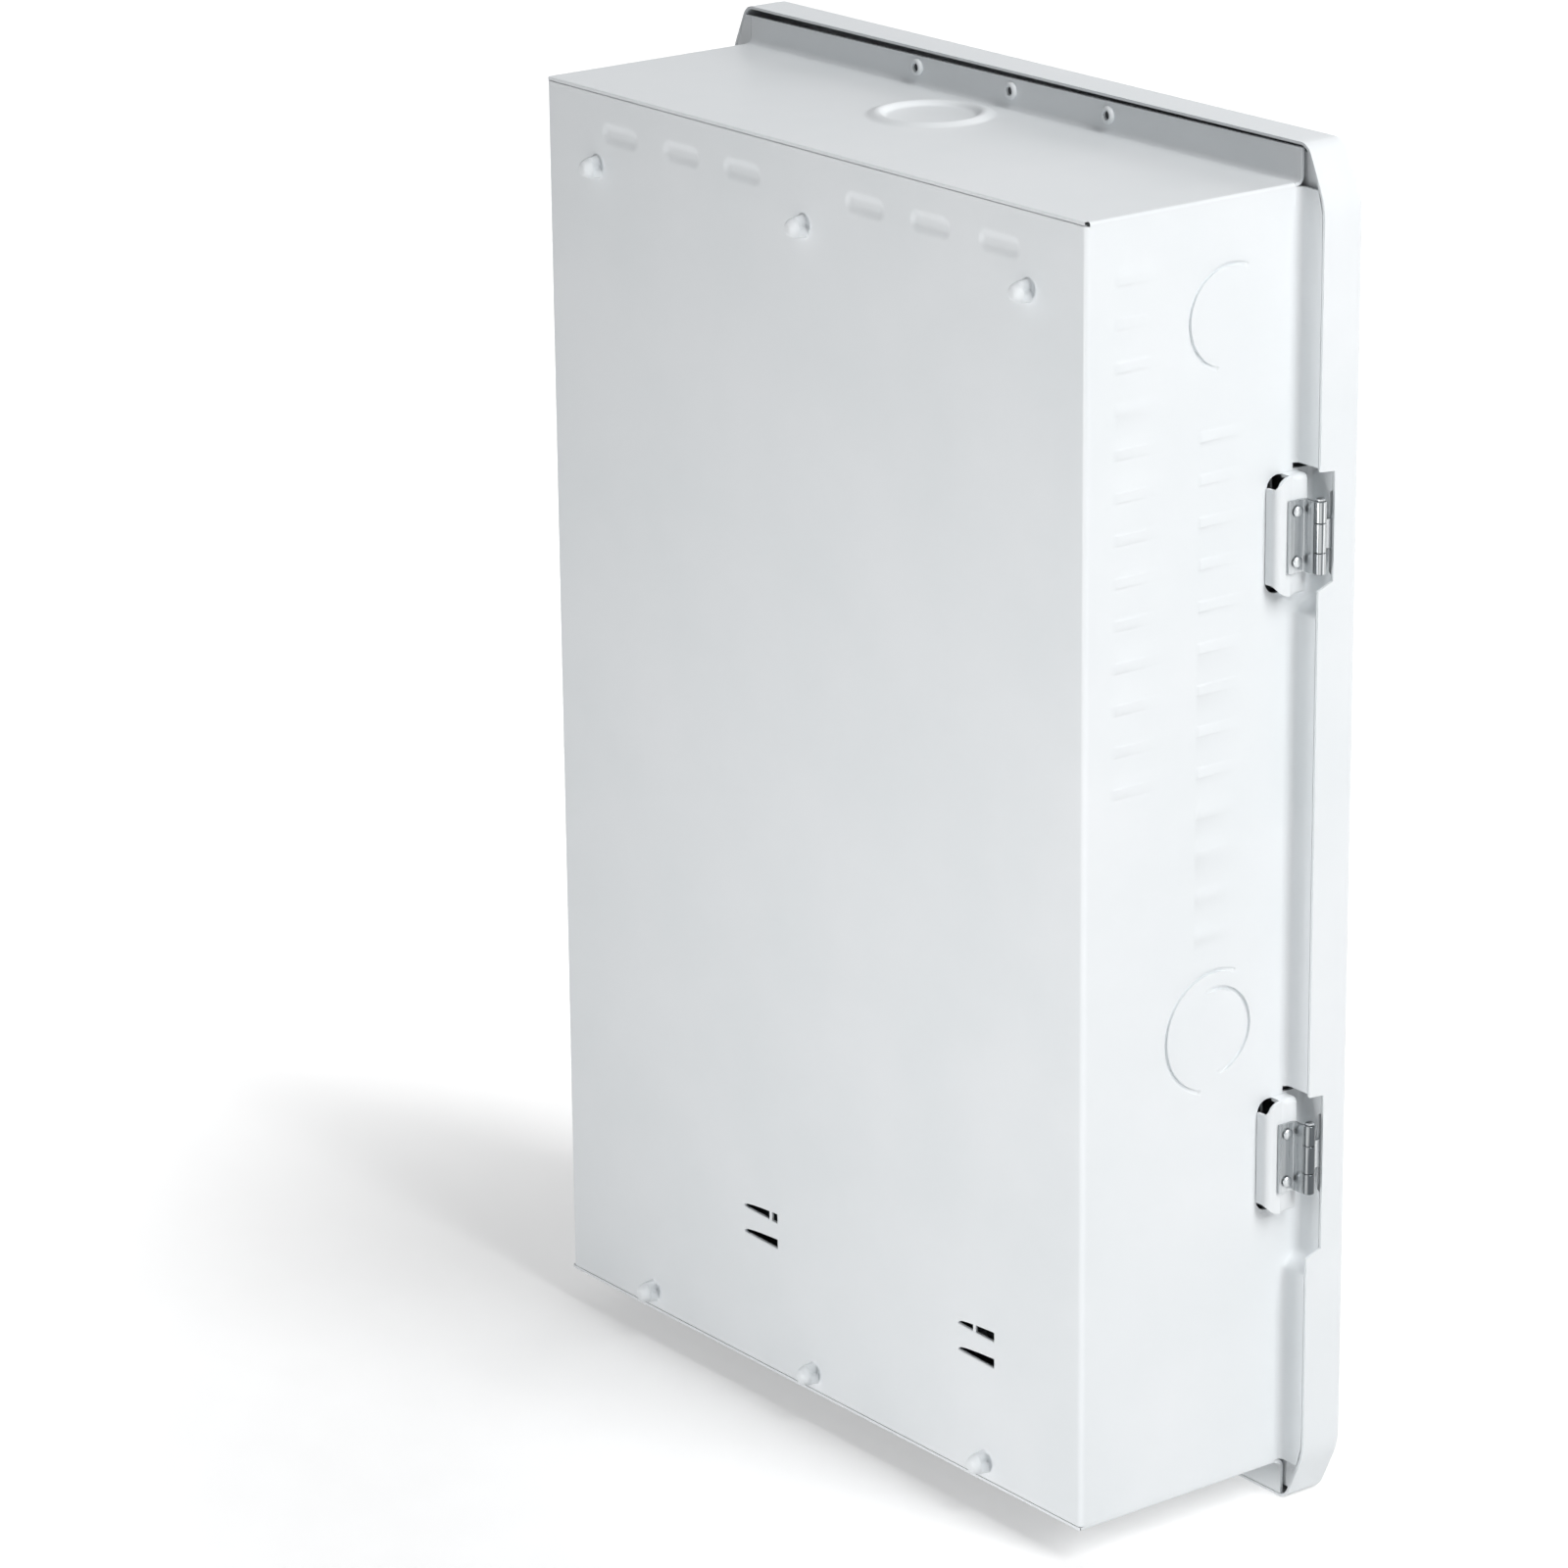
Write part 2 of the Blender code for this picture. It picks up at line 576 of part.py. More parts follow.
def endwall(name, end):
    """Top (end = 1) or bottom (end = -1) wall with its flange. Returns its cut tool."""
    middle = BOX_SHEET / 2
    flange = BOX_DEPTH + middle
    level = end * (END_Z - middle)
    corners = [(0, level), (flange, level), (flange, end * (END_Z + FLANGE_WIDTH))]
    path = bent_path(corners, (FLANGE_BEND,))
    item = folded_sheet(name, ((-SIDE_X, path), (SIDE_X, path)), in_side, BOX_SHEET, WHITE_PAINT)
    removed = bmesh.new()
    tip = END_Z + FLANGE_WIDTH + BOX_SHEET
    for side in (-1, 1):
        cut = [(SIDE_X - FLANGE_CORNER_CUT - BOX_SHEET, tip), (SIDE_X + BOX_SHEET, tip),
               (SIDE_X + BOX_SHEET, tip - FLANGE_CORNER_CUT - BOX_SHEET * 2)]
        add_prism(removed, [in_plan(side * x, BOX_DEPTH - BOX_SHEET, end * z) for x, z in cut],
                  (0, -BOX_SHEET * 3, 0))
    return item, removed


def top_endwall():
    """Top wall with its raised conduit hub and the rivet holes of the drip rail."""
    item, removed = endwall("top_endwall", 1)
    ring = bmesh.new()
    crown = (HUB_OUTER_RADIUS - HUB_INNER_RADIUS) / 4
    section = [(HUB_INNER_RADIUS, -BOX_SHEET / 2), (HUB_OUTER_RADIUS, -BOX_SHEET / 2),
               (HUB_OUTER_RADIUS, HUB_RISE * 0.4), (HUB_OUTER_RADIUS - crown, HUB_RISE),
               (HUB_INNER_RADIUS + crown, HUB_RISE), (HUB_INNER_RADIUS, HUB_RISE * 0.4)]
    hub = in_plan(HUB_OFFSET, HUB_DEPTH, END_Z)
    add_turned(ring, section, hub, (0, 0, 1), FINE_FACETS, ring=True)
    combine(item, ring, "UNION")
    add_rod(removed, hub - Vector((0, 0, HUB_RECESS)), hub + Vector((0, 0, HUB_RECESS)),
            HUB_INNER_RADIUS - BOX_SHEET, FINE_FACETS)
    for spread in (-1, 0, 1):
        x = spread * DRIP_RIVET_SPREAD
        add_rod(removed, in_plan(x, BOX_DEPTH - BOX_SHEET, DRIP_RIVET_Z),
                in_plan(x, FLANGE_FRONT + BOX_SHEET, DRIP_RIVET_Z), RIVET_HOLE_RADIUS, SMALL_FACETS)
    combine(item, removed, "DIFFERENCE")


def bottom_endwall():
    """Bottom wall with its knockouts."""
    item, removed = endwall("bottom_endwall", -1)
    for x, depth, radius in BOTTOM_KNOCKOUTS:
        add_turned(removed, groove_profile(radius, -KNOCKOUT_CUT, KNOCKOUT_CUT),
                   in_plan(x, depth, -END_Z), (0, 0, -1), FINE_FACETS, ring=True)
    combine(item, removed, "DIFFERENCE")


def add_rivet_holes(bm, place, low, high):
    """Holes of a hinge's two rivets between two distances out from the wall."""
    depth = rivet_depth()
    for side in (-0.5, 0.5):
        z = hinge_z(place) + side * RIVET_SPACING
        add_rod(bm, in_plan(outwards(low), depth, z), in_plan(outwards(high), depth, z),
                RIVET_HOLE_RADIUS, SMALL_FACETS)


def rivet_depth():
    """Depth of the hinge rivets, in the middle of the flat of the box leaf."""
    return BOX_DEPTH - LEAF_LENGTH / 2 - KNUCKLE_RADIUS / 2


def hinge_bracket(place):
    """White bracket that stands off the side wall and carries the box leaf."""
    middle = BRACKET_SHEET / 2
    rear = BOX_DEPTH - BRACKET_LENGTH
    front = WALL_EDGE + SEAT_GAP + BRACKET_SHEET
    z = hinge_z(place)
    corners = [(outwards(SEAT_GAP), rear + middle), (outwards(BRACKET_STAND - middle), rear + middle),
               (outwards(BRACKET_STAND - middle), front - middle), (outwards(SEAT_GAP), front - middle)]
    path = bent_path(corners, (BRACKET_BEND, BRACKET_BEND))
    levels = ((z - BRACKET_HEIGHT / 2, path), (z + BRACKET_HEIGHT / 2, path))
    item = folded_sheet(place + "_hinge_bracket", levels, in_plan, BRACKET_SHEET, WHITE_PAINT)
    removed = bmesh.new()
    for end in (-1, 1):
        edge = BRACKET_HEIGHT / 2
        outside = rear - BRACKET_SHEET
        outline = [(outside, edge + BRACKET_SHEET), (outside, edge - BRACKET_CORNER)]
        for step in range(BEND_STEPS + 1):
            angle = math.pi / 2 * step / BEND_STEPS
            outline.append((rear + BRACKET_CORNER * (1 - math.cos(angle)),
                            edge - BRACKET_CORNER * (1 - math.sin(angle))))
        outline.append((rear + BRACKET_CORNER, edge + BRACKET_SHEET))
        add_prism(removed, [in_plan(outwards(-BOX_SHEET), depth, z + end * up) for depth, up in outline],
                  (-BRACKET_STAND - BOX_SHEET * 2, 0, 0))
    add_rivet_holes(removed, place, BRACKET_STAND - BRACKET_SHEET * 1.5, BRACKET_STAND + BRACKET_SHEET)
    combine(item, removed, "DIFFERENCE")


def box_leaf(place):
    """Steel hinge leaf on the bracket, with the two outer knuckles."""
    z = hinge_z(place)
    low = BRACKET_STAND + SEAT_GAP
    high = low + LEAF_SHEET
    half = LEAF_HEIGHT / 2
    web_rear = AXIS_DEPTH - KNUCKLE_RADIUS
    web_front = web_rear + LEAF_SHEET
    body = bmesh.new()
    add_prism(body, [in_plan(outwards(out), depth, z - half) for out, depth in (
        (low, BOX_DEPTH - LEAF_LENGTH), (high, BOX_DEPTH - LEAF_LENGTH), (high, web_rear),
        (AXIS_OUT - LEAF_SHEET, web_rear), (AXIS_OUT - LEAF_SHEET, web_front), (low, web_front))],
        (0, 0, LEAF_HEIGHT))
    item = make_part(place + "_box_leaf", body, ZINC_STEEL)
    barrel = bmesh.new()
    add_rod(barrel, on_axis(z - half), on_axis(z + half), KNUCKLE_RADIUS, ROUND_FACETS)
    combine(item, barrel, "UNION")
    room = bmesh.new()
    gap = KNUCKLE_MIDDLE / 2 + SEAT_GAP
    clear = KNUCKLE_RADIUS + SEAT_GAP * 2
    add_box(room, (AXIS_X - clear, forwards(AXIS_DEPTH - clear), z - gap),
            (AXIS_X + clear, forwards(AXIS_DEPTH + clear), z + gap))
    combine(item, room, "DIFFERENCE")
    holes = bmesh.new()
    add_rod(holes, on_axis(z - LEAF_HEIGHT), on_axis(z + LEAF_HEIGHT), PIN_RADIUS + SEAT_GAP, SMALL_FACETS)
    add_rivet_holes(holes, place, low - LEAF_SHEET, high + LEAF_SHEET)
    combine(item, holes, "DIFFERENCE")
    return item


def door_leaf(place):
    """Steel hinge leaf on the inside of the door's edge, with the middle knuckle."""
    z = hinge_z(place)
    half = LEAF_HEIGHT / 2
    high = FLANGE_WIDTH + DOOR_SIDE_GAP - SEAT_GAP
    low = high - LEAF_SHEET
    rear = AXIS_DEPTH + KNUCKLE_RADIUS * 0.6
    front = BOX_DEPTH + DOOR_NOTCH_DEPTH + DOOR_LEAF_LENGTH - DOOR_EDGE
    tongue = KNUCKLE_MIDDLE / 2
    body = bmesh.new()
    add_prism(body, [in_plan(outwards(out), depth, z - tongue) for out, depth in (
        (low, rear), (AXIS_OUT - LEAF_SHEET / 2, rear), (AXIS_OUT - LEAF_SHEET / 2, rear + LEAF_SHEET),
        (high, rear + LEAF_SHEET), (high, front), (low, front))], (0, 0, KNUCKLE_MIDDLE))
    item = make_part(place + "_door_leaf", body, ZINC_STEEL, on_axis(z))
    more = bmesh.new()
    add_rod(more, on_axis(z - tongue), on_axis(z + tongue), KNUCKLE_RADIUS, ROUND_FACETS)
    add_box(more, in_plan(outwards(low), BOX_DEPTH + DOOR_NOTCH_DEPTH + DOOR_SHEET, z - half),
            in_plan(outwards(high), front, z + half))
    combine(item, more, "UNION")
    hole = bmesh.new()
    add_rod(hole, on_axis(z - LEAF_HEIGHT), on_axis(z + LEAF_HEIGHT), PIN_RADIUS + SEAT_GAP, SMALL_FACETS)
    combine(item, hole, "DIFFERENCE")
    return item


def hinge_pin(place):
    """Pin with a small head above the upper knuckle."""
    half = LEAF_HEIGHT / 2
    head = half + SEAT_GAP
    top = head + PIN_HEAD_HEIGHT
    profile = [(0, top), (PIN_HEAD_RADIUS, top), (PIN_HEAD_RADIUS, head), (PIN_RADIUS, head),
               (PIN_RADIUS, -half), (0, -half)]
    bm = bmesh.new()
    add_turned(bm, profile, on_axis(hinge_z(place)), (0, 0, 1), SMALL_FACETS)
    make_part(place + "_hinge_pin", bm, ZINC_STEEL, smooth=True)


def rivet(name, place, axis, grip, material):
    """Pop rivet with its head at +axis. The grip is the thickness that it holds, gaps included."""
    top = RIVET_HEAD_HEIGHT
    profile = [(0, top * 0.4), (RIVET_HEAD_RADIUS * 0.35, top * 0.4), (RIVET_HEAD_RADIUS * 0.4, top),
               (RIVET_HEAD_RADIUS * 0.8, top * 0.7), (RIVET_HEAD_RADIUS, 0), (RIVET_SHANK_RADIUS, 0),
               (RIVET_SHANK_RADIUS, -grip), (RIVET_SHANK_RADIUS + SEAT_GAP * 2, -grip),
               (RIVET_SHANK_RADIUS, -grip - top), (0, -grip - top)]
    bm = bmesh.new()
    add_turned(bm, profile, place, axis, SMALL_FACETS)
    make_part(name, bm, material, smooth=True)


def hinge_rivets(place):
    """The two rivets that hold the box leaf on its bracket."""
    face = BRACKET_STAND + SEAT_GAP * 2 + LEAF_SHEET
    grip = SEAT_GAP * 3 + LEAF_SHEET + BRACKET_SHEET
    for side, word in ((0.5, "top"), (-0.5, "bottom")):
        spot = in_plan(outwards(face), rivet_depth(), hinge_z(place) + side * RIVET_SPACING)
        rivet(place + "_hinge_rivet_" + word, spot, (-1, 0, 0), grip, ZINC_STEEL)


def drip_rail():
    """Angle strip on the front of the top flange that sheds water, with its three rivets."""
    rear = FLANGE_FRONT + SEAT_GAP + DRIP_RAIL_SHEET / 2
    low = END_Z + DRIP_RAIL_RISE
    corners = [(rear, END_Z + FLANGE_WIDTH), (rear, low), (rear + DRIP_RAIL_REACH, low)]
    path = bent_path(corners, (DRIP_RAIL_SHEET,))
    half = DRIP_RAIL_LENGTH / 2
    item = folded_sheet("drip_rail", ((-half, path), (half, path)), in_side, DRIP_RAIL_SHEET, WHITE_PAINT)
    holes = bmesh.new()
    grip = BOX_SHEET + DRIP_RAIL_SHEET + SEAT_GAP * 3
    for count, spread in enumerate((-1, 0, 1), start=1):
        x = spread * DRIP_RIVET_SPREAD
        beyond = FLANGE_FRONT + DRIP_RAIL_SHEET * 3
        add_rod(holes, in_plan(x, FLANGE_FRONT, DRIP_RIVET_Z), in_plan(x, beyond, DRIP_RIVET_Z),
                RIVET_HOLE_RADIUS, SMALL_FACETS)
        rivet("drip_rail_rivet_%d" % count, in_plan(x, BOX_DEPTH - SEAT_GAP, DRIP_RIVET_Z), (0, 1, 0), grip,
              WHITE_PAINT)
    combine(item, holes, "DIFFERENCE")


def clipped_outline():
    """Outline of the door as (x, z) points: each corner bends softly from the side into a steep clip,
    and ends in a crease."""
    side = Vector((DOOR_HALF_WIDTH, DOOR_HALF_HEIGHT - DOOR_CLIP_HEIGHT))
    crease = Vector((DOOR_HALF_WIDTH - DOOR_CLIP_WIDTH, DOOR_HALF_HEIGHT))
    start = side - Vector((0, DOOR_BEND))
    end = side + (crease - side).normalized() * DOOR_BEND
    corner = []
    for step in range(DOOR_BEND_STEPS + 1):
        share = step / DOOR_BEND_STEPS
        corner.append(start.lerp(side, share).lerp(side.lerp(end, share), share))
    corner.append(crease)
    back = corner[::-1]
    return ([(x, z) for x, z in corner] + [(-x, z) for x, z in back]
            + [(-x, -z) for x, z in corner] + [(x, -z) for x, z in back])


def door_pan():
    """Door: a shallow pan with clipped corners and rounded edges, notched at its hinges."""
    bm = bmesh.new()
    outline = clipped_outline()
    loop = [bm.verts.new(in_plan(x, BOX_DEPTH, z)) for x, z in outline]
    edges = [bm.edges.new((here, there)) for here, there in zip(loop, loop[1:] + loop[:1])]
    swept = bmesh.ops.extrude_edge_only(bm, edges=edges)
    front = [item for item in swept["geom"] if isinstance(item, bmesh.types.BMVert)]
    bmesh.ops.translate(bm, vec=(0, -DOOR_REACH, 0), verts=front)
    rim = [item for item in swept["geom"] if isinstance(item, bmesh.types.BMEdge) and item.is_boundary]
    bmesh.ops.contextual_create(bm, geom=rim)
    bmesh.ops.bevel(bm, geom=rim, offset=DOOR_EDGE, segments=3, profile=0.5, affect="EDGES")
    bmesh.ops.recalc_face_normals(bm, faces=bm.faces)
    cap = max(bm.faces, key=lambda face: face.calc_area())
    turned_in = cap.normal.y > 0
    item = make_part("door_pan", bm, WHITE_PAINT, on_axis(0))
    wall = item.modifiers.new("Thickness", "SOLIDIFY")
    wall.thickness = DOOR_SHEET
    wall.offset = 1.0 if turned_in else -1.0
    wall.use_even_offset = True
    removed = bmesh.new()
    for place in HINGE_DROPS:
        top = hinge_z(place) + DOOR_NOTCH_ABOVE
        bottom = hinge_z(place) - DOOR_NOTCH_BELOW[place]
        add_box(removed, in_plan(outwards(FLANGE_WIDTH), BOX_DEPTH - DOOR_SHEET, top),
                in_plan(-DOOR_HALF_WIDTH - DOOR_SHEET, BOX_DEPTH + DOOR_NOTCH_DEPTH, bottom))
    add_rod(removed, in_plan(LATCH_X, DOOR_FRONT - DOOR_SHEET * 2, LATCH_Z),
            in_plan(LATCH_X, DOOR_FRONT + DOOR_SHEET, LATCH_Z), SLEEVE_RADIUS + SEAT_GAP, FINE_FACETS)
    combine(item, removed, "DIFFERENCE")
    return item


def latch():
    """Quarter-turn latch: escutcheon in the door, and a knob that turns the cam."""
    centre = in_plan(LATCH_X, DOOR_FRONT, LATCH_Z)
    front = (0, -1, 0)
    bore = SHAFT_RADIUS + SEAT_GAP
    face = ESCUTCHEON_HEIGHT + SEAT_GAP
    section = [(bore, face), (ESCUTCHEON_RADIUS - ESCUTCHEON_HEIGHT / 2, face),
               (ESCUTCHEON_RADIUS, SEAT_GAP), (SLEEVE_RADIUS, SEAT_GAP),
               (SLEEVE_RADIUS, -SLEEVE_LENGTH), (bore, -SLEEVE_LENGTH)]
    bm = bmesh.new()
    add_turned(bm, section, centre, front, FINE_FACETS, ring=True)
    escutcheon = make_part("latch_escutcheon", bm, ZINC_STEEL, smooth=True)

    base = ESCUTCHEON_HEIGHT + SEAT_GAP * 2
    top = base + KNOB_HEIGHT
    shoulder = CAM_FRONT + SEAT_GAP - DOOR_FRONT
    square_end = CAM_REAR - SEAT_GAP - DOOR_FRONT
    thread_end = square_end - LATCH_NUT_HEIGHT - SEAT_GAP * 2
    profile = [(0, top), (KNOB_RADIUS - KNOB_HEIGHT / 2, top), (KNOB_RADIUS, base + KNOB_HEIGHT / 2),
               (KNOB_RADIUS, base), (SHAFT_RADIUS, base), (SHAFT_RADIUS, shoulder), (0, shoulder)]
    bm = bmesh.new()
    add_turned(bm, profile, centre, front, FINE_FACETS)
    knob = make_part("latch_knob", bm, BLACK_MOULDING, centre, smooth=True)
    more = bmesh.new()
    grip = Vector((GRIP_WIDTH / 2, 0, GRIP_LENGTH / 2))
    add_box(more, in_plan(LATCH_X, DOOR_FRONT + top - KNOB_HEIGHT / 2, LATCH_Z) - grip,
            in_plan(LATCH_X, DOOR_FRONT + top + GRIP_HEIGHT, LATCH_Z) + grip)
    square = Vector((SQUARE_SIDE / 2, 0, SQUARE_SIDE / 2))
    add_box(more, in_plan(LATCH_X, DOOR_FRONT + shoulder + SHAFT_RADIUS, LATCH_Z) - square,
            in_plan(LATCH_X, DOOR_FRONT + square_end, LATCH_Z) + square)
    combine(knob, more, "UNION")
    thread = bmesh.new()
    add_rod(thread, in_plan(LATCH_X, DOOR_FRONT + shoulder, LATCH_Z),
            in_plan(LATCH_X, DOOR_FRONT + thread_end, LATCH_Z), THREAD_RADIUS, SMALL_FACETS)
    combine(knob, thread, "UNION")

    half = CAM_WIDTH / 2
    outline = [(half, 0)]
    for step in range(1, ROUND_FACETS // 2):
        angle = math.tau * step / ROUND_FACETS
        outline.append((half * math.cos(angle), half * math.sin(angle)))
    outline += [(-half, 0), (-half * 0.75, -CAM_REACH), (half * 0.75, -CAM_REACH)]
    bm = bmesh.new()
    add_prism(bm, [in_plan(LATCH_X + x, CAM_REAR, LATCH_Z + z) for x, z in outline], (0, -CAM_SHEET, 0))
    cam = make_part("latch_cam", bm, ZINC_STEEL, centre)
    hole = bmesh.new()
    reach = SQUARE_SIDE / 2 + SEAT_GAP
    add_box(hole, in_plan(LATCH_X - reach, CAM_REAR - CAM_SHEET, LATCH_Z - reach),
            in_plan(LATCH_X + reach, CAM_FRONT + CAM_SHEET, LATCH_Z + reach))
    combine(cam, hole, "DIFFERENCE")

    bm = bmesh.new()
    nut_front = CAM_REAR - SEAT_GAP * 2
    nut_rear = nut_front - LATCH_NUT_HEIGHT
    add_rod(bm, in_plan(LATCH_X, nut_front, LATCH_Z), in_plan(LATCH_X, nut_rear, LATCH_Z),
            LATCH_NUT_RADIUS, 6)
    nut = make_part("latch_nut", bm, ZINC_STEEL, centre)
    hole = bmesh.new()
    add_rod(hole, in_plan(LATCH_X, nut_front + LATCH_NUT_HEIGHT, LATCH_Z),
            in_plan(LATCH_X, nut_rear - LATCH_NUT_HEIGHT, LATCH_Z), THREAD_RADIUS + SEAT_GAP, SMALL_FACETS)
    combine(nut, hole, "DIFFERENCE")
    return [escutcheon, knob, cam, nut]


def latch_strike():
    """Angle on the inside of the wall whose lip the cam turns behind."""
    middle = STRIKE_SHEET / 2
    x = STRIKE_LEG_X + middle
    front = FLANGE_FRONT - middle
    corners = [(x, FLANGE_FRONT - STRIKE_LEG), (x, front), (x + middle - STRIKE_LIP, front)]
    path = bent_path(corners, (STRIKE_BEND,))
    levels = ((LATCH_Z - STRIKE_HEIGHT / 2, path), (LATCH_Z + STRIKE_HEIGHT / 2, path))
    folded_sheet("latch_strike", levels, in_plan, STRIKE_SHEET, GALVANISED)


def nose_span(side):
    """Inner and outer x of a branch breaker's nose on one side."""
    return side * NOSE_INNER_X, side * (NOSE_INNER_X + NOSE_LENGTH)


def deadfront():
    """Inner cover with windows for the breakers and shallow twist-outs for spare places."""
    middle = DEADFRONT_SHEET / 2
    face = DEADFRONT_FACE - middle
    end = DEADFRONT_HALF_HEIGHT - middle
    corners = [(face - DEADFRONT_RETURN, -end), (face, -end), (face, end), (face - DEADFRONT_RETURN, end)]
    path = bent_path(corners, (DEADFRONT_BEND, DEADFRONT_BEND))
    levels = ((-DEADFRONT_HALF_WIDTH, path), (DEADFRONT_HALF_WIDTH, path))
    item = folded_sheet("deadfront", levels, in_side, DEADFRONT_SHEET, GREY_COVER)
    removed = bmesh.new()
    through = (DEADFRONT_REAR - DEADFRONT_SHEET, DEADFRONT_FACE + DEADFRONT_SHEET)
    top = ROWS[0] + ROW_PITCH / 2 + WINDOW_GAP
    bottom = ROWS[BREAKER_ROWS - 1] - ROW_PITCH / 2 - WINDOW_GAP
    for side in (-1, 1):
        inner, outer = nose_span(side)
        add_box(removed, in_plan(inner - side * WINDOW_GAP, through[0], bottom),
                in_plan(outer + side * WINDOW_GAP, through[1], top))
        for z in ROWS[BREAKER_ROWS:]:
            add_box(removed, in_plan(inner, DEADFRONT_FACE - TWISTOUT_DEPTH, z - ROW_PITCH / 2 + BOX_SHEET),
                    in_plan(outer, through[1], z + ROW_PITCH / 2 - BOX_SHEET))
    window = Vector((MAIN_NOSE_HALF_WIDTH + WINDOW_GAP, 0, MAIN_NOSE_LENGTH / 2 + WINDOW_GAP))
    add_box(removed, in_plan(0, through[0], MAIN_MIDDLE) - window,
            in_plan(0, through[1], MAIN_MIDDLE) + window)
    for x in (-COVER_SCREW_X, COVER_SCREW_X):
        for z in (-RAIL_Z, RAIL_Z):
            add_rod(removed, in_plan(x, through[0], z), in_plan(x, through[1], z),
                    COVER_SCREW_RADIUS + SEAT_GAP, SMALL_FACETS)
    combine(item, removed, "DIFFERENCE")


def deadfront_rail(name, end):
    """Rail between the side walls that the deadfront is screwed to."""
    middle = RAIL_SHEET / 2
    face = RAIL_FRONT - middle
    z = end * RAIL_Z
    corners = [(face, z - end * RAIL_FACE / 2), (face, z + end * RAIL_FACE / 2),
               (face - RAIL_LEG, z + end * RAIL_FACE / 2)]
    reach = INNER_X - SEAT_GAP
    path = bent_path(corners, (RAIL_SHEET,))
    item = folded_sheet(name, ((-reach, path), (reach, path)), in_side, RAIL_SHEET, GALVANISED)
    holes = bmesh.new()
    for x in (-COVER_SCREW_X, COVER_SCREW_X):
        add_rod(holes, in_plan(x, RAIL_FRONT + RAIL_SHEET, z), in_plan(x, RAIL_FRONT - RAIL_SHEET * 3, z),
                COVER_SCREW_RADIUS + SEAT_GAP, SMALL_FACETS)
    combine(item, holes, "DIFFERENCE")


def cover_screws():
    """The four slotted screws that hold the deadfront on its rails."""
    face = DEADFRONT_FACE + SEAT_GAP
    profile = [(0, COVER_SCREW_HEAD), (COVER_SCREW_HEAD_RADIUS * 0.7, COVER_SCREW_HEAD),
               (COVER_SCREW_HEAD_RADIUS, COVER_SCREW_HEAD * 0.4), (COVER_SCREW_HEAD_RADIUS, 0),
               (COVER_SCREW_RADIUS, 0), (COVER_SCREW_RADIUS, -COVER_SCREW_LENGTH), (0, -COVER_SCREW_LENGTH)]
    count = 0
    for z in (RAIL_Z, -RAIL_Z):
        for x in (-COVER_SCREW_X, COVER_SCREW_X):
            count += 1
            bm = bmesh.new()
            add_turned(bm, profile, in_plan(x, face, z), (0, -1, 0), SMALL_FACETS)
            item = make_part("deadfront_screw_%d" % count, bm, ZINC_STEEL, smooth=True)
            slot = bmesh.new()
            span = Vector((COVER_SCREW_HEAD_RADIUS * 2, 0, SEAT_GAP * 2))
            add_box(slot, in_plan(x, face + COVER_SCREW_HEAD * 0.5, z) - span,
                    in_plan(x, face + COVER_SCREW_HEAD * 2, z) + span)
            combine(item, slot, "DIFFERENCE")


def interior_pan():
    """Mounting pan on weld studs, with a nut on each stud."""
    middle = PAN_SHEET / 2
    foot = BOX_SHEET + SEAT_GAP + middle
    leg = PAN_HALF_WIDTH - middle
    half = [(PAN_HALF_WIDTH + PAN_FOOT, foot), (leg, foot), (leg, PAN_REAR + middle)]
    corners = half + [(-x, depth) for x, depth in reversed(half)]
    path = bent_path(corners, (PAN_BEND,) * 4)
    levels = ((PAN_BOTTOM, path), (PAN_TOP, path))
    item = folded_sheet("interior_pan", levels, in_plan, PAN_SHEET, GALVANISED)
    holes = bmesh.new()
    seat = foot + middle + SEAT_GAP
    count = 0
    for x in (-1, 1):
        for z in (-STUD_Z, STUD_Z):
            count += 1
            centre = x * (PAN_HALF_WIDTH + PAN_FOOT / 2)
            add_rod(holes, in_plan(centre, foot - PAN_SHEET, z), in_plan(centre, foot + PAN_SHEET, z),
                    STUD_RADIUS + SEAT_GAP, SMALL_FACETS)
            bm = bmesh.new()
            nut_top = seat + PAN_NUT_HEIGHT
            add_rod(bm, in_plan(centre, seat, z), in_plan(centre, nut_top, z), PAN_NUT_RADIUS, 6)
            nut = make_part("pan_nut_%d" % count, bm, ZINC_STEEL)
            bore = bmesh.new()
            add_rod(bore, in_plan(centre, seat - PAN_NUT_HEIGHT, z),
                    in_plan(centre, nut_top + PAN_NUT_HEIGHT, z), STUD_RADIUS + SEAT_GAP, SMALL_FACETS)
            combine(nut, bore, "DIFFERENCE")
    combine(item, holes, "DIFFERENCE")


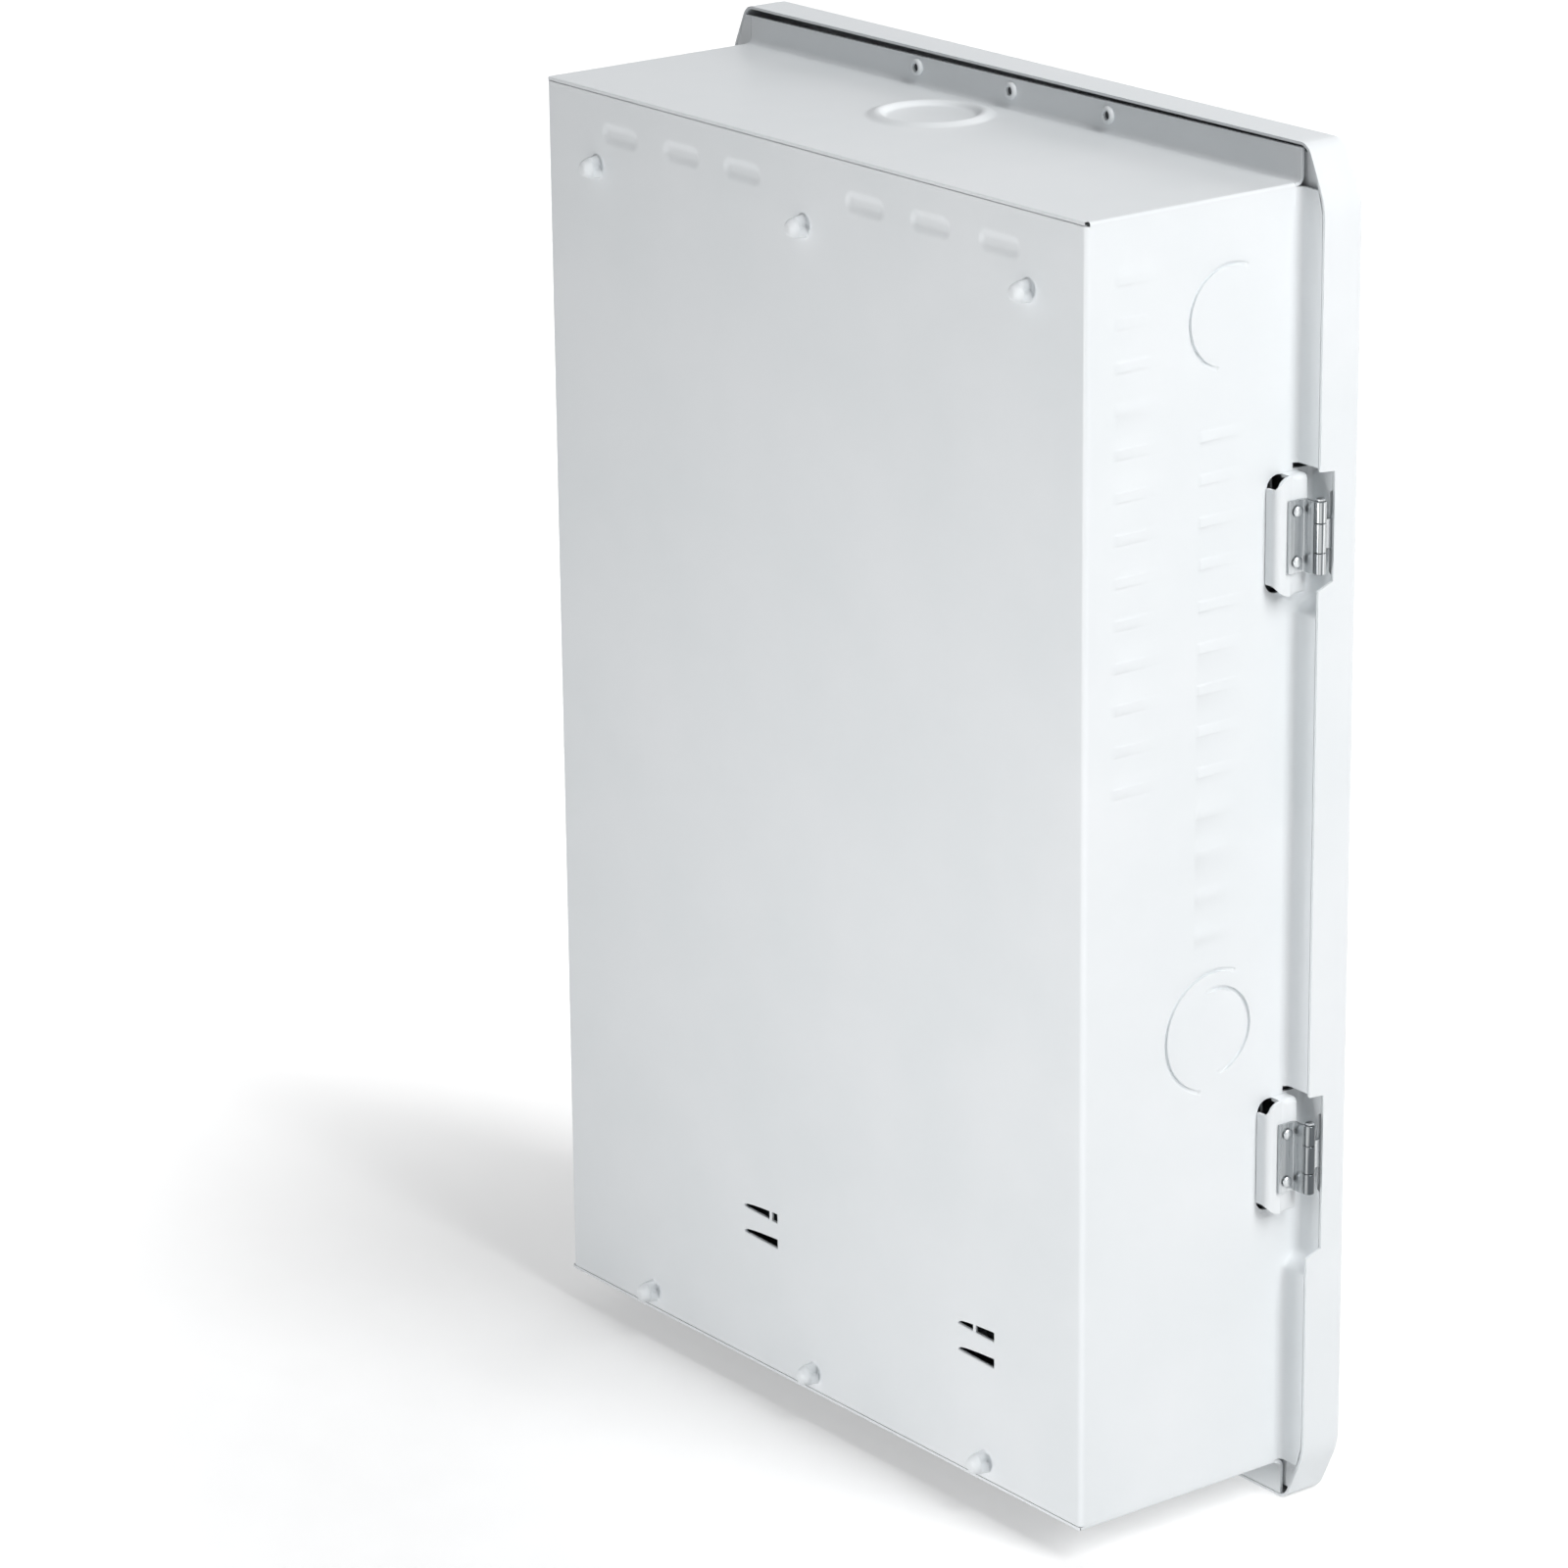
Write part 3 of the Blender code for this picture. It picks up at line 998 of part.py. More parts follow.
def bus_base():
    """Moulded insulator: a plate with a spine, two carrying rails and arms for the neutral bars."""
    bm = bmesh.new()
    plate_top = BASE_REAR + BASE_PLATE
    add_box(bm, in_plan(-BASE_HALF_WIDTH, BASE_REAR, BASE_BOTTOM),
            in_plan(BASE_HALF_WIDTH, plate_top, BASE_TOP))
    item = make_part("bus_base", bm, DARK_BASE)
    more = bmesh.new()
    arms = bmesh.new()
    spine_top = BUS_REAR - SEAT_GAP
    add_box(more, in_plan(-SPINE_HALF_WIDTH, plate_top - BASE_PLATE / 2, BASE_BOTTOM + BASE_PLATE),
            in_plan(SPINE_HALF_WIDTH, spine_top, BASE_TOP - BASE_PLATE))
    for side in (-1, 1):
        add_box(more, in_plan(side * CARRY_RAIL_OUT, plate_top - BASE_PLATE / 2, BASE_BOTTOM + BASE_PLATE),
                in_plan(side * (CARRY_RAIL_OUT - CARRY_RAIL_WIDTH), CARRY_TOP, BASE_TOP - BASE_PLATE))
        for row in NEUTRAL_ARM_ROWS:
            z = FIRST_ROW_Z - row * ROW_PITCH
            add_box(arms, in_plan(side * (BASE_HALF_WIDTH - BASE_PLATE / 2), BASE_REAR + SEAT_GAP,
                                  z - NEUTRAL_ARM_WIDTH / 2),
                    in_plan(side * (NEUTRAL_X + NEUTRAL_WIDTH), BASE_REAR + NEUTRAL_ARM_LIFT,
                            z + NEUTRAL_ARM_WIDTH / 2))
    combine(item, more, "UNION")
    combine(item, arms, "UNION")


def hot_bus(name, side, first_row):
    """Bus bar with a stab over every second row, and a tab up to the main breaker."""
    bm = bmesh.new()
    low = side * BUS_CENTRE - BUS_WIDTH / 2
    front = BUS_REAR + BUS_SHEET
    top = MAIN_BOTTOM - SEAT_GAP
    add_box(bm, in_plan(low, BUS_REAR, BASE_BOTTOM + BASE_PLATE), in_plan(low + BUS_WIDTH, front, top))
    item = make_part(name, bm, TINNED_BUS)
    risers = bmesh.new()
    blades = bmesh.new()
    add_box(risers, in_plan(low, front - BUS_SHEET / 2, top - BUS_SHEET),
            in_plan(low + BUS_WIDTH, BREAKER_REAR + STAB_HEIGHT, top))
    for z in ROWS[first_row::2]:
        half = STAB_SHEET / 2
        add_box(risers, in_plan(low, front - BUS_SHEET / 2, z - half),
                in_plan(low + BUS_WIDTH, BREAKER_REAR - SEAT_GAP, z + half))
        add_box(blades, in_plan(-STAB_HALF_LENGTH, front + STAB_LIFT, z - half),
                in_plan(STAB_HALF_LENGTH, STAB_TIP, z + half))
    combine(item, risers, "UNION")
    combine(item, blades, "UNION")


def terminal_bar(name, low, high, along, wire, places, material):
    """Terminal bar with wire holes through it and a screw head over each."""
    bm = bmesh.new()
    add_box(bm, low, high)
    item = make_part(name, bm, material)
    heads = bmesh.new()
    holes = bmesh.new()
    middle = (Vector(low) + Vector(high)) / 2
    front = min(low[1], high[1])
    for place in places:
        spot = middle + Vector(along) * place
        add_rod(holes, spot - Vector(wire), spot + Vector(wire), TERMINAL_HOLE_RADIUS, 8)
        add_rod(heads, (spot.x, front + TERMINAL_SCREW_HEIGHT, spot.z),
                (spot.x, front - TERMINAL_SCREW_HEIGHT, spot.z), TERMINAL_SCREW_RADIUS, 8)
    combine(item, heads, "UNION")
    combine(item, holes, "DIFFERENCE")


def terminal_bars():
    """Two upright neutral bars on the base's arms and a level ground bar on the pan."""
    seat = BASE_REAR + NEUTRAL_ARM_LIFT + SEAT_GAP
    span = NEUTRAL_SCREWS * NEUTRAL_PITCH
    half = NEUTRAL_WIDTH / 2
    steps = [(step - (NEUTRAL_SCREWS - 1) / 2) * NEUTRAL_PITCH for step in range(NEUTRAL_SCREWS)]
    for side, word in ((-1, "left"), (1, "right")):
        low = in_plan(side * NEUTRAL_X - half, seat, NEUTRAL_TOP - span)
        high = in_plan(side * NEUTRAL_X + half, seat + NEUTRAL_HEIGHT, NEUTRAL_TOP)
        terminal_bar("neutral_bar_" + word, low, high, (0, 0, 1), (NEUTRAL_WIDTH, 0, 0), steps,
                     BARE_ALUMINIUM)
    reach = GROUND_SCREWS * NEUTRAL_PITCH / 2
    steps = [(step - (GROUND_SCREWS - 1) / 2) * NEUTRAL_PITCH for step in range(GROUND_SCREWS)]
    terminal_bar("ground_bar", in_plan(-reach, BASE_REAR, GROUND_Z - half),
                 in_plan(reach, BASE_REAR + NEUTRAL_HEIGHT, GROUND_Z + half), (1, 0, 0),
                 (0, 0, NEUTRAL_WIDTH), steps, BARE_ALUMINIUM)


def toggle(name, axis_point, along, reach, thickness, drum, half_width, tilt):
    """Breaker handle: a drum on its axis and a flat paddle tilted away from forwards."""
    along = Vector(along)
    centre = Vector(axis_point)
    bm = bmesh.new()
    add_rod(bm, centre - along * half_width, centre + along * half_width, drum, ROUND_FACETS)
    item = make_part(name, bm, PALE_HANDLE, centre, smooth=True)
    paddle = bmesh.new()
    across = along.cross(Vector((0, -1, 0)))
    span = across * thickness / 2 + along * half_width
    add_box(paddle, centre - span, centre + span + Vector((0, -reach, 0)))
    turn = Matrix.Translation(centre) @ Matrix.Rotation(tilt, 4, along) @ Matrix.Translation(-centre)
    bmesh.ops.transform(paddle, matrix=turn, verts=paddle.verts)
    combine(item, paddle, "UNION")
    return item


def branch_breaker(count, side, z):
    """Single-pole plug-on breaker. Its handle tilts towards the middle of the panel to switch on."""
    half = ROW_PITCH / 2 - BREAKER_GAP / 2
    inner = side * BREAKER_INNER_X
    outer = side * (BREAKER_INNER_X + BREAKER_LENGTH)
    bm = bmesh.new()
    add_box(bm, in_plan(inner, BREAKER_REAR, z - half), in_plan(outer, SHOULDER_DEPTH, z + half))
    item = make_part("branch_breaker_%d" % count, bm, BLACK_MOULDING)
    nose = bmesh.new()
    start, end = nose_span(side)
    add_box(nose, in_plan(start, SHOULDER_DEPTH - BREAKER_SHOULDER, z - half + BREAKER_GAP),
            in_plan(end, NOSE_DEPTH, z + half - BREAKER_GAP))
    combine(item, nose, "UNION")
    removed = bmesh.new()
    middle = (start + end) / 2
    axis_depth = NOSE_DEPTH - HANDLE_DRUM_RADIUS - SEAT_GAP
    slot = Vector((HANDLE_SLOT_HALF, 0, HANDLE_HALF_WIDTH + SEAT_GAP))
    slot_floor = axis_depth - HANDLE_DRUM_RADIUS - SEAT_GAP
    add_box(removed, in_plan(middle, slot_floor, z) - slot, in_plan(middle, NOSE_DEPTH + SEAT_GAP, z) + slot)
    jaw = STAB_SHEET / 2 + STAB_CLEARANCE
    add_box(removed, in_plan(inner - side * STAB_CLEARANCE, BREAKER_REAR - STAB_CLEARANCE, z - jaw),
            in_plan(side * (STAB_HALF_LENGTH + STAB_CLEARANCE), STAB_TIP + STAB_CLEARANCE, z + jaw))
    screw_x = (end + outer) / 2
    add_rod(removed, in_plan(screw_x, SHOULDER_DEPTH - LUG_HOLE_RADIUS, z),
            in_plan(screw_x, SHOULDER_DEPTH + LUG_HOLE_RADIUS, z), LUG_HOLE_RADIUS, SMALL_FACETS)
    wire_depth = SHOULDER_DEPTH - ROW_PITCH
    add_rod(removed, in_plan(outer - side * LUG_HOLE_RADIUS, wire_depth, z),
            in_plan(outer + side * LUG_HOLE_RADIUS, wire_depth, z), LUG_HOLE_RADIUS, SMALL_FACETS)
    combine(item, removed, "DIFFERENCE")
    toggle("branch_handle_%d" % count, in_plan(middle, axis_depth, z), (0, 0, side), HANDLE_REACH,
           HANDLE_THICKNESS, HANDLE_DRUM_RADIUS, HANDLE_HALF_WIDTH, HANDLE_TILT)


def branch_breakers():
    """Breakers in the first rows of both columns, odd numbers on the left."""
    for row, z in enumerate(ROWS[:BREAKER_ROWS]):
        for place, side in enumerate((-1, 1)):
            branch_breaker(row * 2 + place + 1, side, z)


def main_breaker():
    """Two-pole main breaker with a wide handle, and line lugs on its rear shelf."""
    bm = bmesh.new()
    add_box(bm, in_plan(-MAIN_HALF_WIDTH, BASE_REAR, MAIN_BOTTOM),
            in_plan(MAIN_HALF_WIDTH, SHOULDER_DEPTH, MAIN_TOP))
    item = make_part("main_breaker", bm, BLACK_MOULDING)
    more = bmesh.new()
    nose = Vector((MAIN_NOSE_HALF_WIDTH, 0, MAIN_NOSE_LENGTH / 2))
    add_box(more, in_plan(0, SHOULDER_DEPTH - BREAKER_SHOULDER, MAIN_MIDDLE) - nose,
            in_plan(0, NOSE_DEPTH, MAIN_MIDDLE) + nose)
    add_box(more, in_plan(-MAIN_HALF_WIDTH + SEAT_GAP, BASE_REAR + SEAT_GAP, MAIN_TOP - MAIN_SHELF),
            in_plan(MAIN_HALF_WIDTH - SEAT_GAP, MAIN_SHELF_DEPTH, MAIN_TOP + MAIN_SHELF))
    combine(item, more, "UNION")
    removed = bmesh.new()
    axis_depth = NOSE_DEPTH - MAIN_DRUM_RADIUS - SEAT_GAP
    slot = MAIN_HANDLE_HALF_WIDTH + SEAT_GAP
    add_box(removed, in_plan(-slot, axis_depth - MAIN_DRUM_RADIUS - SEAT_GAP, MAIN_MIDDLE - MAIN_SLOT_HALF),
            in_plan(slot, NOSE_DEPTH + SEAT_GAP, MAIN_MIDDLE + MAIN_SLOT_HALF))
    combine(item, removed, "DIFFERENCE")
    toggle("main_handle", in_plan(0, axis_depth, MAIN_MIDDLE), (1, 0, 0), MAIN_HANDLE_REACH,
           MAIN_HANDLE_THICKNESS, MAIN_DRUM_RADIUS, MAIN_HANDLE_HALF_WIDTH, HANDLE_TILT)
    for side, word in ((-1, "a"), (1, "b")):
        seat = MAIN_SHELF_DEPTH + SEAT_GAP
        x = side * LINE_LUG_X
        low_z = MAIN_TOP + SEAT_GAP
        bm = bmesh.new()
        add_box(bm, in_plan(x - LINE_LUG_WIDTH / 2, seat, low_z),
                in_plan(x + LINE_LUG_WIDTH / 2, seat + LINE_LUG_HEIGHT, low_z + LINE_LUG_LENGTH))
        lug = make_part("line_lug_" + word, bm, BARE_ALUMINIUM)
        hole = bmesh.new()
        depth = seat + LINE_LUG_HEIGHT / 2
        add_rod(hole, in_plan(x, depth, low_z - LINE_LUG_LENGTH),
                in_plan(x, depth, low_z + LINE_LUG_LENGTH * 2), LINE_LUG_HOLE_RADIUS, ROUND_FACETS)
        combine(lug, hole, "DIFFERENCE")


def hang_on_hinge(items):
    """Parent the moving pieces of the door to an empty on the hinge axis."""
    hinge = bpy.data.objects.new("door_hinge_axis", None)
    hinge.location = (AXIS_X, forwards(AXIS_DEPTH), 0)
    parts.objects.link(hinge)
    bpy.context.view_layer.update()
    for item in items:
        item.parent = hinge
        item.matrix_parent_inverse = hinge.matrix_world.inverted()


back_and_sides()
top_endwall()
bottom_endwall()
door_pieces = [door_pan()]
for where in HINGE_DROPS:
    hinge_bracket(where)
    box_leaf(where)
    hinge_pin(where)
    hinge_rivets(where)
    door_pieces.append(door_leaf(where))
drip_rail()
door_pieces += latch()
latch_strike()
deadfront()
deadfront_rail("upper_deadfront_rail", 1)
deadfront_rail("lower_deadfront_rail", -1)
cover_screws()
interior_pan()
bus_base()
hot_bus("hot_bus_a", -1, 0)
hot_bus("hot_bus_b", 1, 1)
terminal_bars()
main_breaker()
branch_breakers()
hang_on_hinge(door_pieces)
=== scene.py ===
"""Residential load center seen from behind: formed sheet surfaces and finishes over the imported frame."""

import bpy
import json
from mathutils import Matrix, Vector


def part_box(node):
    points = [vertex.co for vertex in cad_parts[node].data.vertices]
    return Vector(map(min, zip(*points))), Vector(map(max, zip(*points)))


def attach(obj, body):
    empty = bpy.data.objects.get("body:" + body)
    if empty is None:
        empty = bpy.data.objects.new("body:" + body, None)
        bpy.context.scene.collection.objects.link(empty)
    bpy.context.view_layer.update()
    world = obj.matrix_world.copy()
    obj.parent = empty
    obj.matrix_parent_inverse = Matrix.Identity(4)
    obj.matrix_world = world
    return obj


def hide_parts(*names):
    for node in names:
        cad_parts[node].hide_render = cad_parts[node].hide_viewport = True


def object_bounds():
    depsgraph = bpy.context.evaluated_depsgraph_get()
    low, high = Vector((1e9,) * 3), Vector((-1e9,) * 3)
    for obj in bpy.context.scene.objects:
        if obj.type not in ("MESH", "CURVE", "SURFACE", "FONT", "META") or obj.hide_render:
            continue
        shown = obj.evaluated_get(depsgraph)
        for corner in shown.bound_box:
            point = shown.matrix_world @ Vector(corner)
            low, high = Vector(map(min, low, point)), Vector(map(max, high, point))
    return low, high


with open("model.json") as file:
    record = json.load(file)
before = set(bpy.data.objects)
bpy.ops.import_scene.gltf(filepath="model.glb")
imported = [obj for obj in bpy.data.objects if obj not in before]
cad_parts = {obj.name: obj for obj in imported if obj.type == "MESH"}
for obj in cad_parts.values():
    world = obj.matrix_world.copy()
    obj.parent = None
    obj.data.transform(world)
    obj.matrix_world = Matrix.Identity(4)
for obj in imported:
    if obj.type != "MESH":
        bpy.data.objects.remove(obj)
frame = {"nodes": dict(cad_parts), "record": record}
cad_box = [list(corner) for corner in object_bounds()]

import json
import math

import bpy
import numpy as np
from mathutils import Matrix, Vector

scene = bpy.context.scene
scene.view_settings.view_transform = "Standard"

# All sizes below are millimetres, turned to metres when a mesh is made.
# x runs across the box, z up, and "depth" is measured forwards from the outer back face.
MM = 0.001
TOLERANCE = 0.001
BACK_Y = -8.5
HALF_WIDTH = 184.0
HALF_HEIGHT = 283.0
DEPTH = 113.0
SHEET = 1.5
WRAP_END = 281.2
BACK_CORNER = 2.55
FLANGE = 12.0
TOP_FLANGE = (14.0, FLANGE)
BOTTOM_FLANGE = (14.9, 14.9)
BEND = 2.25
BEND_START = DEPTH - BEND
MARGIN = 1.0
TOP_RELIEF, BOTTOM_RELIEF = 1.5, 0.3
LAP_STEP, LAP_TUCK, LAP_GAP = 3.0, 4.5, 0.3
BACKWARDS, FORWARDS = np.array((0, 1.0, 0)), np.array((0, -1.0, 0))

# Each drawn or cut form takes up a patch of its wall, given by its half sizes.
BOSS_PLACES = ((-147, 248.6), (0, 248.6), (147, 248.6), (-120, -273.2), (0, -273.2), (120, -273.2))
BOSS_PATCH = 7.4
# A boss's hollow: where it is deepest, how it gathers there, and its drop as a share of its depth.
BOSS_HOLLOW_AT = math.radians(163)
HOLLOW_GAIN, HOLLOW_LESS, HOLLOW_DROP = 1.7, 0.6, 0.45
DIMPLE_X = (-129.5, -85, -42, 42, 85, 129.5)
DIMPLE_Z = 264.7
DIMPLE_CORE, DIMPLE_PATCH = 8.5, (14.0, 5.8)
# Each pair of slits: x, z, and the share of its length from the latch side where a bridge crosses the upper.
SLIT_PAIRS = ((38.0, -215.0, 0.80), (-114.0, -220.7, 0.45))
SLIT_PITCH, SLIT_LENGTH, SLIT_PATCH = 12.2, 24.0, (14.0, 4.4)
SLIT_NARROW, SLIT_DROP, SLIT_BOW, SLIT_POWER = 0.3, 0.7, 2.9, 0.42
BRIDGE_HALF, BRIDGE_REACH, BRIDGE_SET_IN, BRIDGE_SHEET = 0.9, 3.0, 0.25, 1.0
# Each column of lances: depth of its rear end, and drop from the top of the box.
LANCE_COLUMNS = ((15.0, 26.0), (59.5, 98.0))
LANCE_COUNT, LANCE_PITCH = 13, 17.9
LANCE_LENGTH, LANCE_NOSE, LANCE_RISE = 25.0, 0.05, 0.45
LANCE_HALF, LANCE_FLANK = 2.7, 0.8
HUB, HUB_PATCH = (13.0, 79.0), 30.7
# Each knockout: its place, its radius, the lines across it, where it is deepest in radians, and the radius
# and deepest place of the ring inside it, if it has one.
TO_REAR, TO_FRONT = math.radians(160), math.radians(10)
SIDE_KNOCKOUTS = ((76, 233, 22, 33, TO_REAR), (72, -74, 27, 37, TO_REAR, (19, TO_FRONT)))
BOTTOM_KNOCKOUTS = ((-115, 72, 22, 31, 2.2), (-45, 72, 27, 31, 0.6, (21, 3.7)), (35, 72, 17.5, 31, 2.2),
                    (105, 72, 14, 31, 2.2))
KNOCKOUT_MARGIN, SHEAR_BASE, SHEAR_GAIN = 2.5, 0.12, 1.6

HINGE_Z = {"upper": 137.0, "lower": -137.0}
JOGGLE = 8.0
JOGGLE_BELOW = {"upper": 36.0, "lower": 55.0}
JOGGLE_ABOVE = 26.2
LEAF_RELIEF, LEAF_CLEAR = 1.5, 18.0
SIDE_FLANGE = 13.1
RELIEF = 2.6
PAD_HALF, PAD_REAR, PAD_CLOSED, PAD_FRONT = 25.5, 96.2, 104.2, 112.55
PAD_FOOT, PAD_FRONT_TOP, PAD_TOP = 0.3, 5.4, 7.0
PAD_CORNER, PAD_CORNER_GAP, PAD_BEND = 8.0, 0.2, 2.2
PAD_ROLL, PAD_ROLL_RUN = (0.2, 2.2), 2.5
OPENING_DEPTH, OPENING_HALF, OPENING_CORNER = 102.6, (6.2, PAD_HALF - 0.2), 6.0
OPENING_PATCH = (6.9, PAD_HALF + 0.7)
AXIS_OUT, AXIS_DEPTH = 15.5, 112.5
LEAF_SHEET, LEAF_HALF, LEAF_BEND = 1.2, 15.5, 1.0
BOX_LEAF_PATH = ((7.9, 102.0), (7.9, 110.5), (14.2, 110.5))
DOOR_LEAF_PATH = ((12.5, 114.3), (12.5, 132.0))
TONGUE_HALF, TONGUE_SHOULDER = 6.2, (121.8, 122.6)
KNUCKLE_BORE, KNUCKLE_RADIUS, KNUCKLE_EDGE, KNUCKLE_INNER = 1.25, 2.6, 0.25, 6.5
PIN_SHANK, PIN_HEAD = 1.2, 2.0
RIVET_OUT, RIVET_DEPTH, RIVET_SHIFT = 8.8, 106.2, 10.8
RIVET_RADIUS, RIVET_HEIGHT = 2.5, 1.4
DRIP_RIVET_X, DRIP_RIVET_DEPTH, DRIP_RIVET_Z = (-64.0, 0.0, 64.0), 112.98, 290.75

DOOR_HALF = (198.6, 299.4)
DOOR_GRID = (178.0, 262.0)
DOOR_REAR, DOOR_FRONT = 113.0, 136.0
DOOR_EDGE, DOOR_SHEET, DOOR_LIP = 5.0, 1.2, 2.0
DOOR_CLIP = (11.0, 24.0)
DOOR_BEND, DOOR_CREASE = 30.0, 7.0
NOTCH_ABOVE, NOTCH_BELOW, NOTCH_DEPTH = 27.0, {"upper": 23.5, "lower": 46.5}, 8.0
NOTCH_SLANT, NOTCH_STEP, NOTCH_NEAR = 3.0, 0.5, 2.0

# Camera and floor, in metres and degrees, with the sensor and the lens in millimetres
CAMERA_PLACE = (-1.9921, 1.5201, 0.8383)
AZIMUTH, ELEVATION, ROLL = 232.7381, 18.4012, -0.6289
SENSOR, LENS, CLIP_END = 36.0, 141.07, 100.0
BOX_MIDDLE = (0, -0.06, 0)
# Half size of the floor, and its glow to the camera, which rises between two distances from the origin:
# painted shade keeps the floor darker near the box, and painted light washes its shadow out further off.
FLOOR_HALF = 30.0
PAINTED_GLOW_RUN, PAINTED_GLOW = (0.34, 0.72), (0.36, 0.85)


# Surfaces
def lines(*groups):
    """All values of the groups, sorted, with doubles left out."""
    return np.unique(np.round(np.concatenate([np.atleast_1d(g).astype(float) for g in groups]), 4))


def lattice(points, around=False):
    """Skin over a grid of points: each cell joins four neighbours, and around closes the first parameter."""
    n, m = points.shape[:2]
    index = np.arange(n * m).reshape(n, m)
    here, there = (index, np.roll(index, -1, 0)) if around else (index[:-1], index[1:])
    cells = np.stack([here[:, :-1], there[:, :-1], there[:, 1:], here[:, 1:]], -1)
    return points.reshape(-1, 3), cells.reshape(-1, 4)


def joined(*shells):
    """Several shells as one: their points in a row, and their faces shifted to match."""
    starts = np.cumsum([0] + [len(points) for points, _ in shells[:-1]])
    return (np.concatenate([points for points, _ in shells]),
            np.concatenate([faces + start for (_, faces), start in zip(shells, starts)]))


def face_normals(shell):
    """Cross product of each face's two diagonals."""
    points, faces = shell
    a, b, c, d = (points[faces[:, k]] for k in range(4))
    return np.cross(c - a, d - b)


def facing(shell, direction):
    """The shell with its faces turned over where their summed normals point against direction."""
    points, faces = shell
    right_way = face_normals(shell).sum(0) @ np.array(direction, float) > 0
    return points, faces if right_way else faces[:, ::-1]


def plate(points, normals, sheet):
    """Sheet of even thickness: a grid, the same grid set back along its normals, and the rim between."""
    n, m = points.shape[:2]
    front, back = np.arange(2 * n * m).reshape(2, n, m)
    normals = np.broadcast_to(normals, points.shape)
    both = np.concatenate([points.reshape(-1, 3), (points - normals * sheet).reshape(-1, 3)])

    def cells(g):
        return np.stack([g[:-1, :-1], g[1:, :-1], g[1:, 1:], g[:-1, 1:]], -1).reshape(-1, 4)

    def border(g):
        return np.concatenate([g[:-1, 0], g[-1, :-1], g[:0:-1, -1], g[0, :0:-1]])

    outer, inner = border(front), border(back)
    rim = np.stack([np.roll(outer, -1), outer, inner, np.roll(inner, -1)], -1)
    faces = np.concatenate([cells(front), cells(back)[:, ::-1], rim])
    skin = (both, cells(front))
    lean = np.einsum("ij,ij->i", face_normals(skin), normals[:-1, :-1].reshape(-1, 3)).sum()
    return both, faces if lean > 0 else faces[:, ::-1]


def turned(centre, axis, profile, count=40):
    """Profile of (radius, height) pairs turned about an axis through centre."""
    axis = np.array(axis, float) / np.linalg.norm(axis)
    side = np.cross(axis, (0, 0, 1) if abs(axis[2]) < 0.9 else (1, 0, 0))
    side /= np.linalg.norm(side)
    other = np.cross(axis, side)
    angle = np.linspace(0, 2 * math.pi, count, endpoint=False)[:, None, None]
    radius, height = (np.array(profile, float)[None, :, k, None] for k in (0, 1))
    grid = np.array(centre) + radius * (np.cos(angle) * side + np.sin(angle) * other) + height * axis
    points, faces = lattice(grid, around=True)
    middle = grid.reshape(-1, 3).mean(0)
    out = np.einsum("ij,ij->i", face_normals((points, faces)), points[faces].mean(1) - middle).sum()
    return points, faces if out > 0 else faces[:, ::-1]


def round_outline(core):
    """Outline at a radius round a straight core of half length core; a core of 0 gives a circle."""
    def outline(edge, radius, height):
        along = np.clip(edge[:, 0], -core, core)
        ray = edge - np.stack([along, np.zeros_like(along)], -1)
        ray = ray / np.linalg.norm(ray, axis=1, keepdims=True)
        return np.stack([along + ray[:, 0] * radius, ray[:, 1] * radius, np.full(len(edge), height)], -1)
    return outline


def sheared_outline(edge, radius, height, deepest):
    """Circle at its full height round its deepest point, which runs out a little beyond a right angle from
    there, as the edge of a half-sheared blank does."""
    angle = np.arctan2(edge[:, 1], edge[:, 0])
    share = np.clip(SHEAR_BASE + SHEAR_GAIN * np.cos(angle - deepest), 0, 1)
    return np.stack([radius * np.cos(angle), radius * np.sin(angle), height * share], -1)


def boss_outline(edge, radius, height, hollow):
    """Circle at a height, drawn in and down by a hollow on the part of it towards the hinge side."""
    angle = np.arctan2(edge[:, 1], edge[:, 0])
    share = np.clip(np.cos(angle - BOSS_HOLLOW_AT) * HOLLOW_GAIN - HOLLOW_LESS, 0, 1)
    radius = radius - hollow * share
    height = height - HOLLOW_DROP * hollow * share
    return np.stack([radius * np.cos(angle), radius * np.sin(angle), height], -1)


def opening_outline(half_u, half_v, radius):
    """Rectangle of the two half sizes with rounded corners: a core rectangle pushed out by the radius."""
    core = np.array((half_u - radius, half_v - radius))

    def outline(edge, height):
        inner = np.clip(edge, -core, core)
        ray = (edge - inner) / np.linalg.norm(edge - inner, axis=1, keepdims=True)
        return np.concatenate([inner + ray * radius, np.full((len(edge), 1), height)], 1)
    return outline


def wedge_outline(edge, grow, height):
    """Wedge along u, blunt at its low end and narrow at its high end, with a bowed upper and a straight lower
    edge, grown outwards by an offset."""
    half = SLIT_LENGTH / 2 + grow
    along = np.clip(edge[:, 0], -half, half)
    share = np.clip((SLIT_LENGTH / 2 - along) / SLIT_LENGTH, 0, 1)
    across = np.clip(edge[:, 1], -SLIT_NARROW - SLIT_DROP * share - grow,
                     SLIT_NARROW + SLIT_BOW * share ** SLIT_POWER + grow)
    return np.stack([along, across, np.full(len(edge), height)], -1)


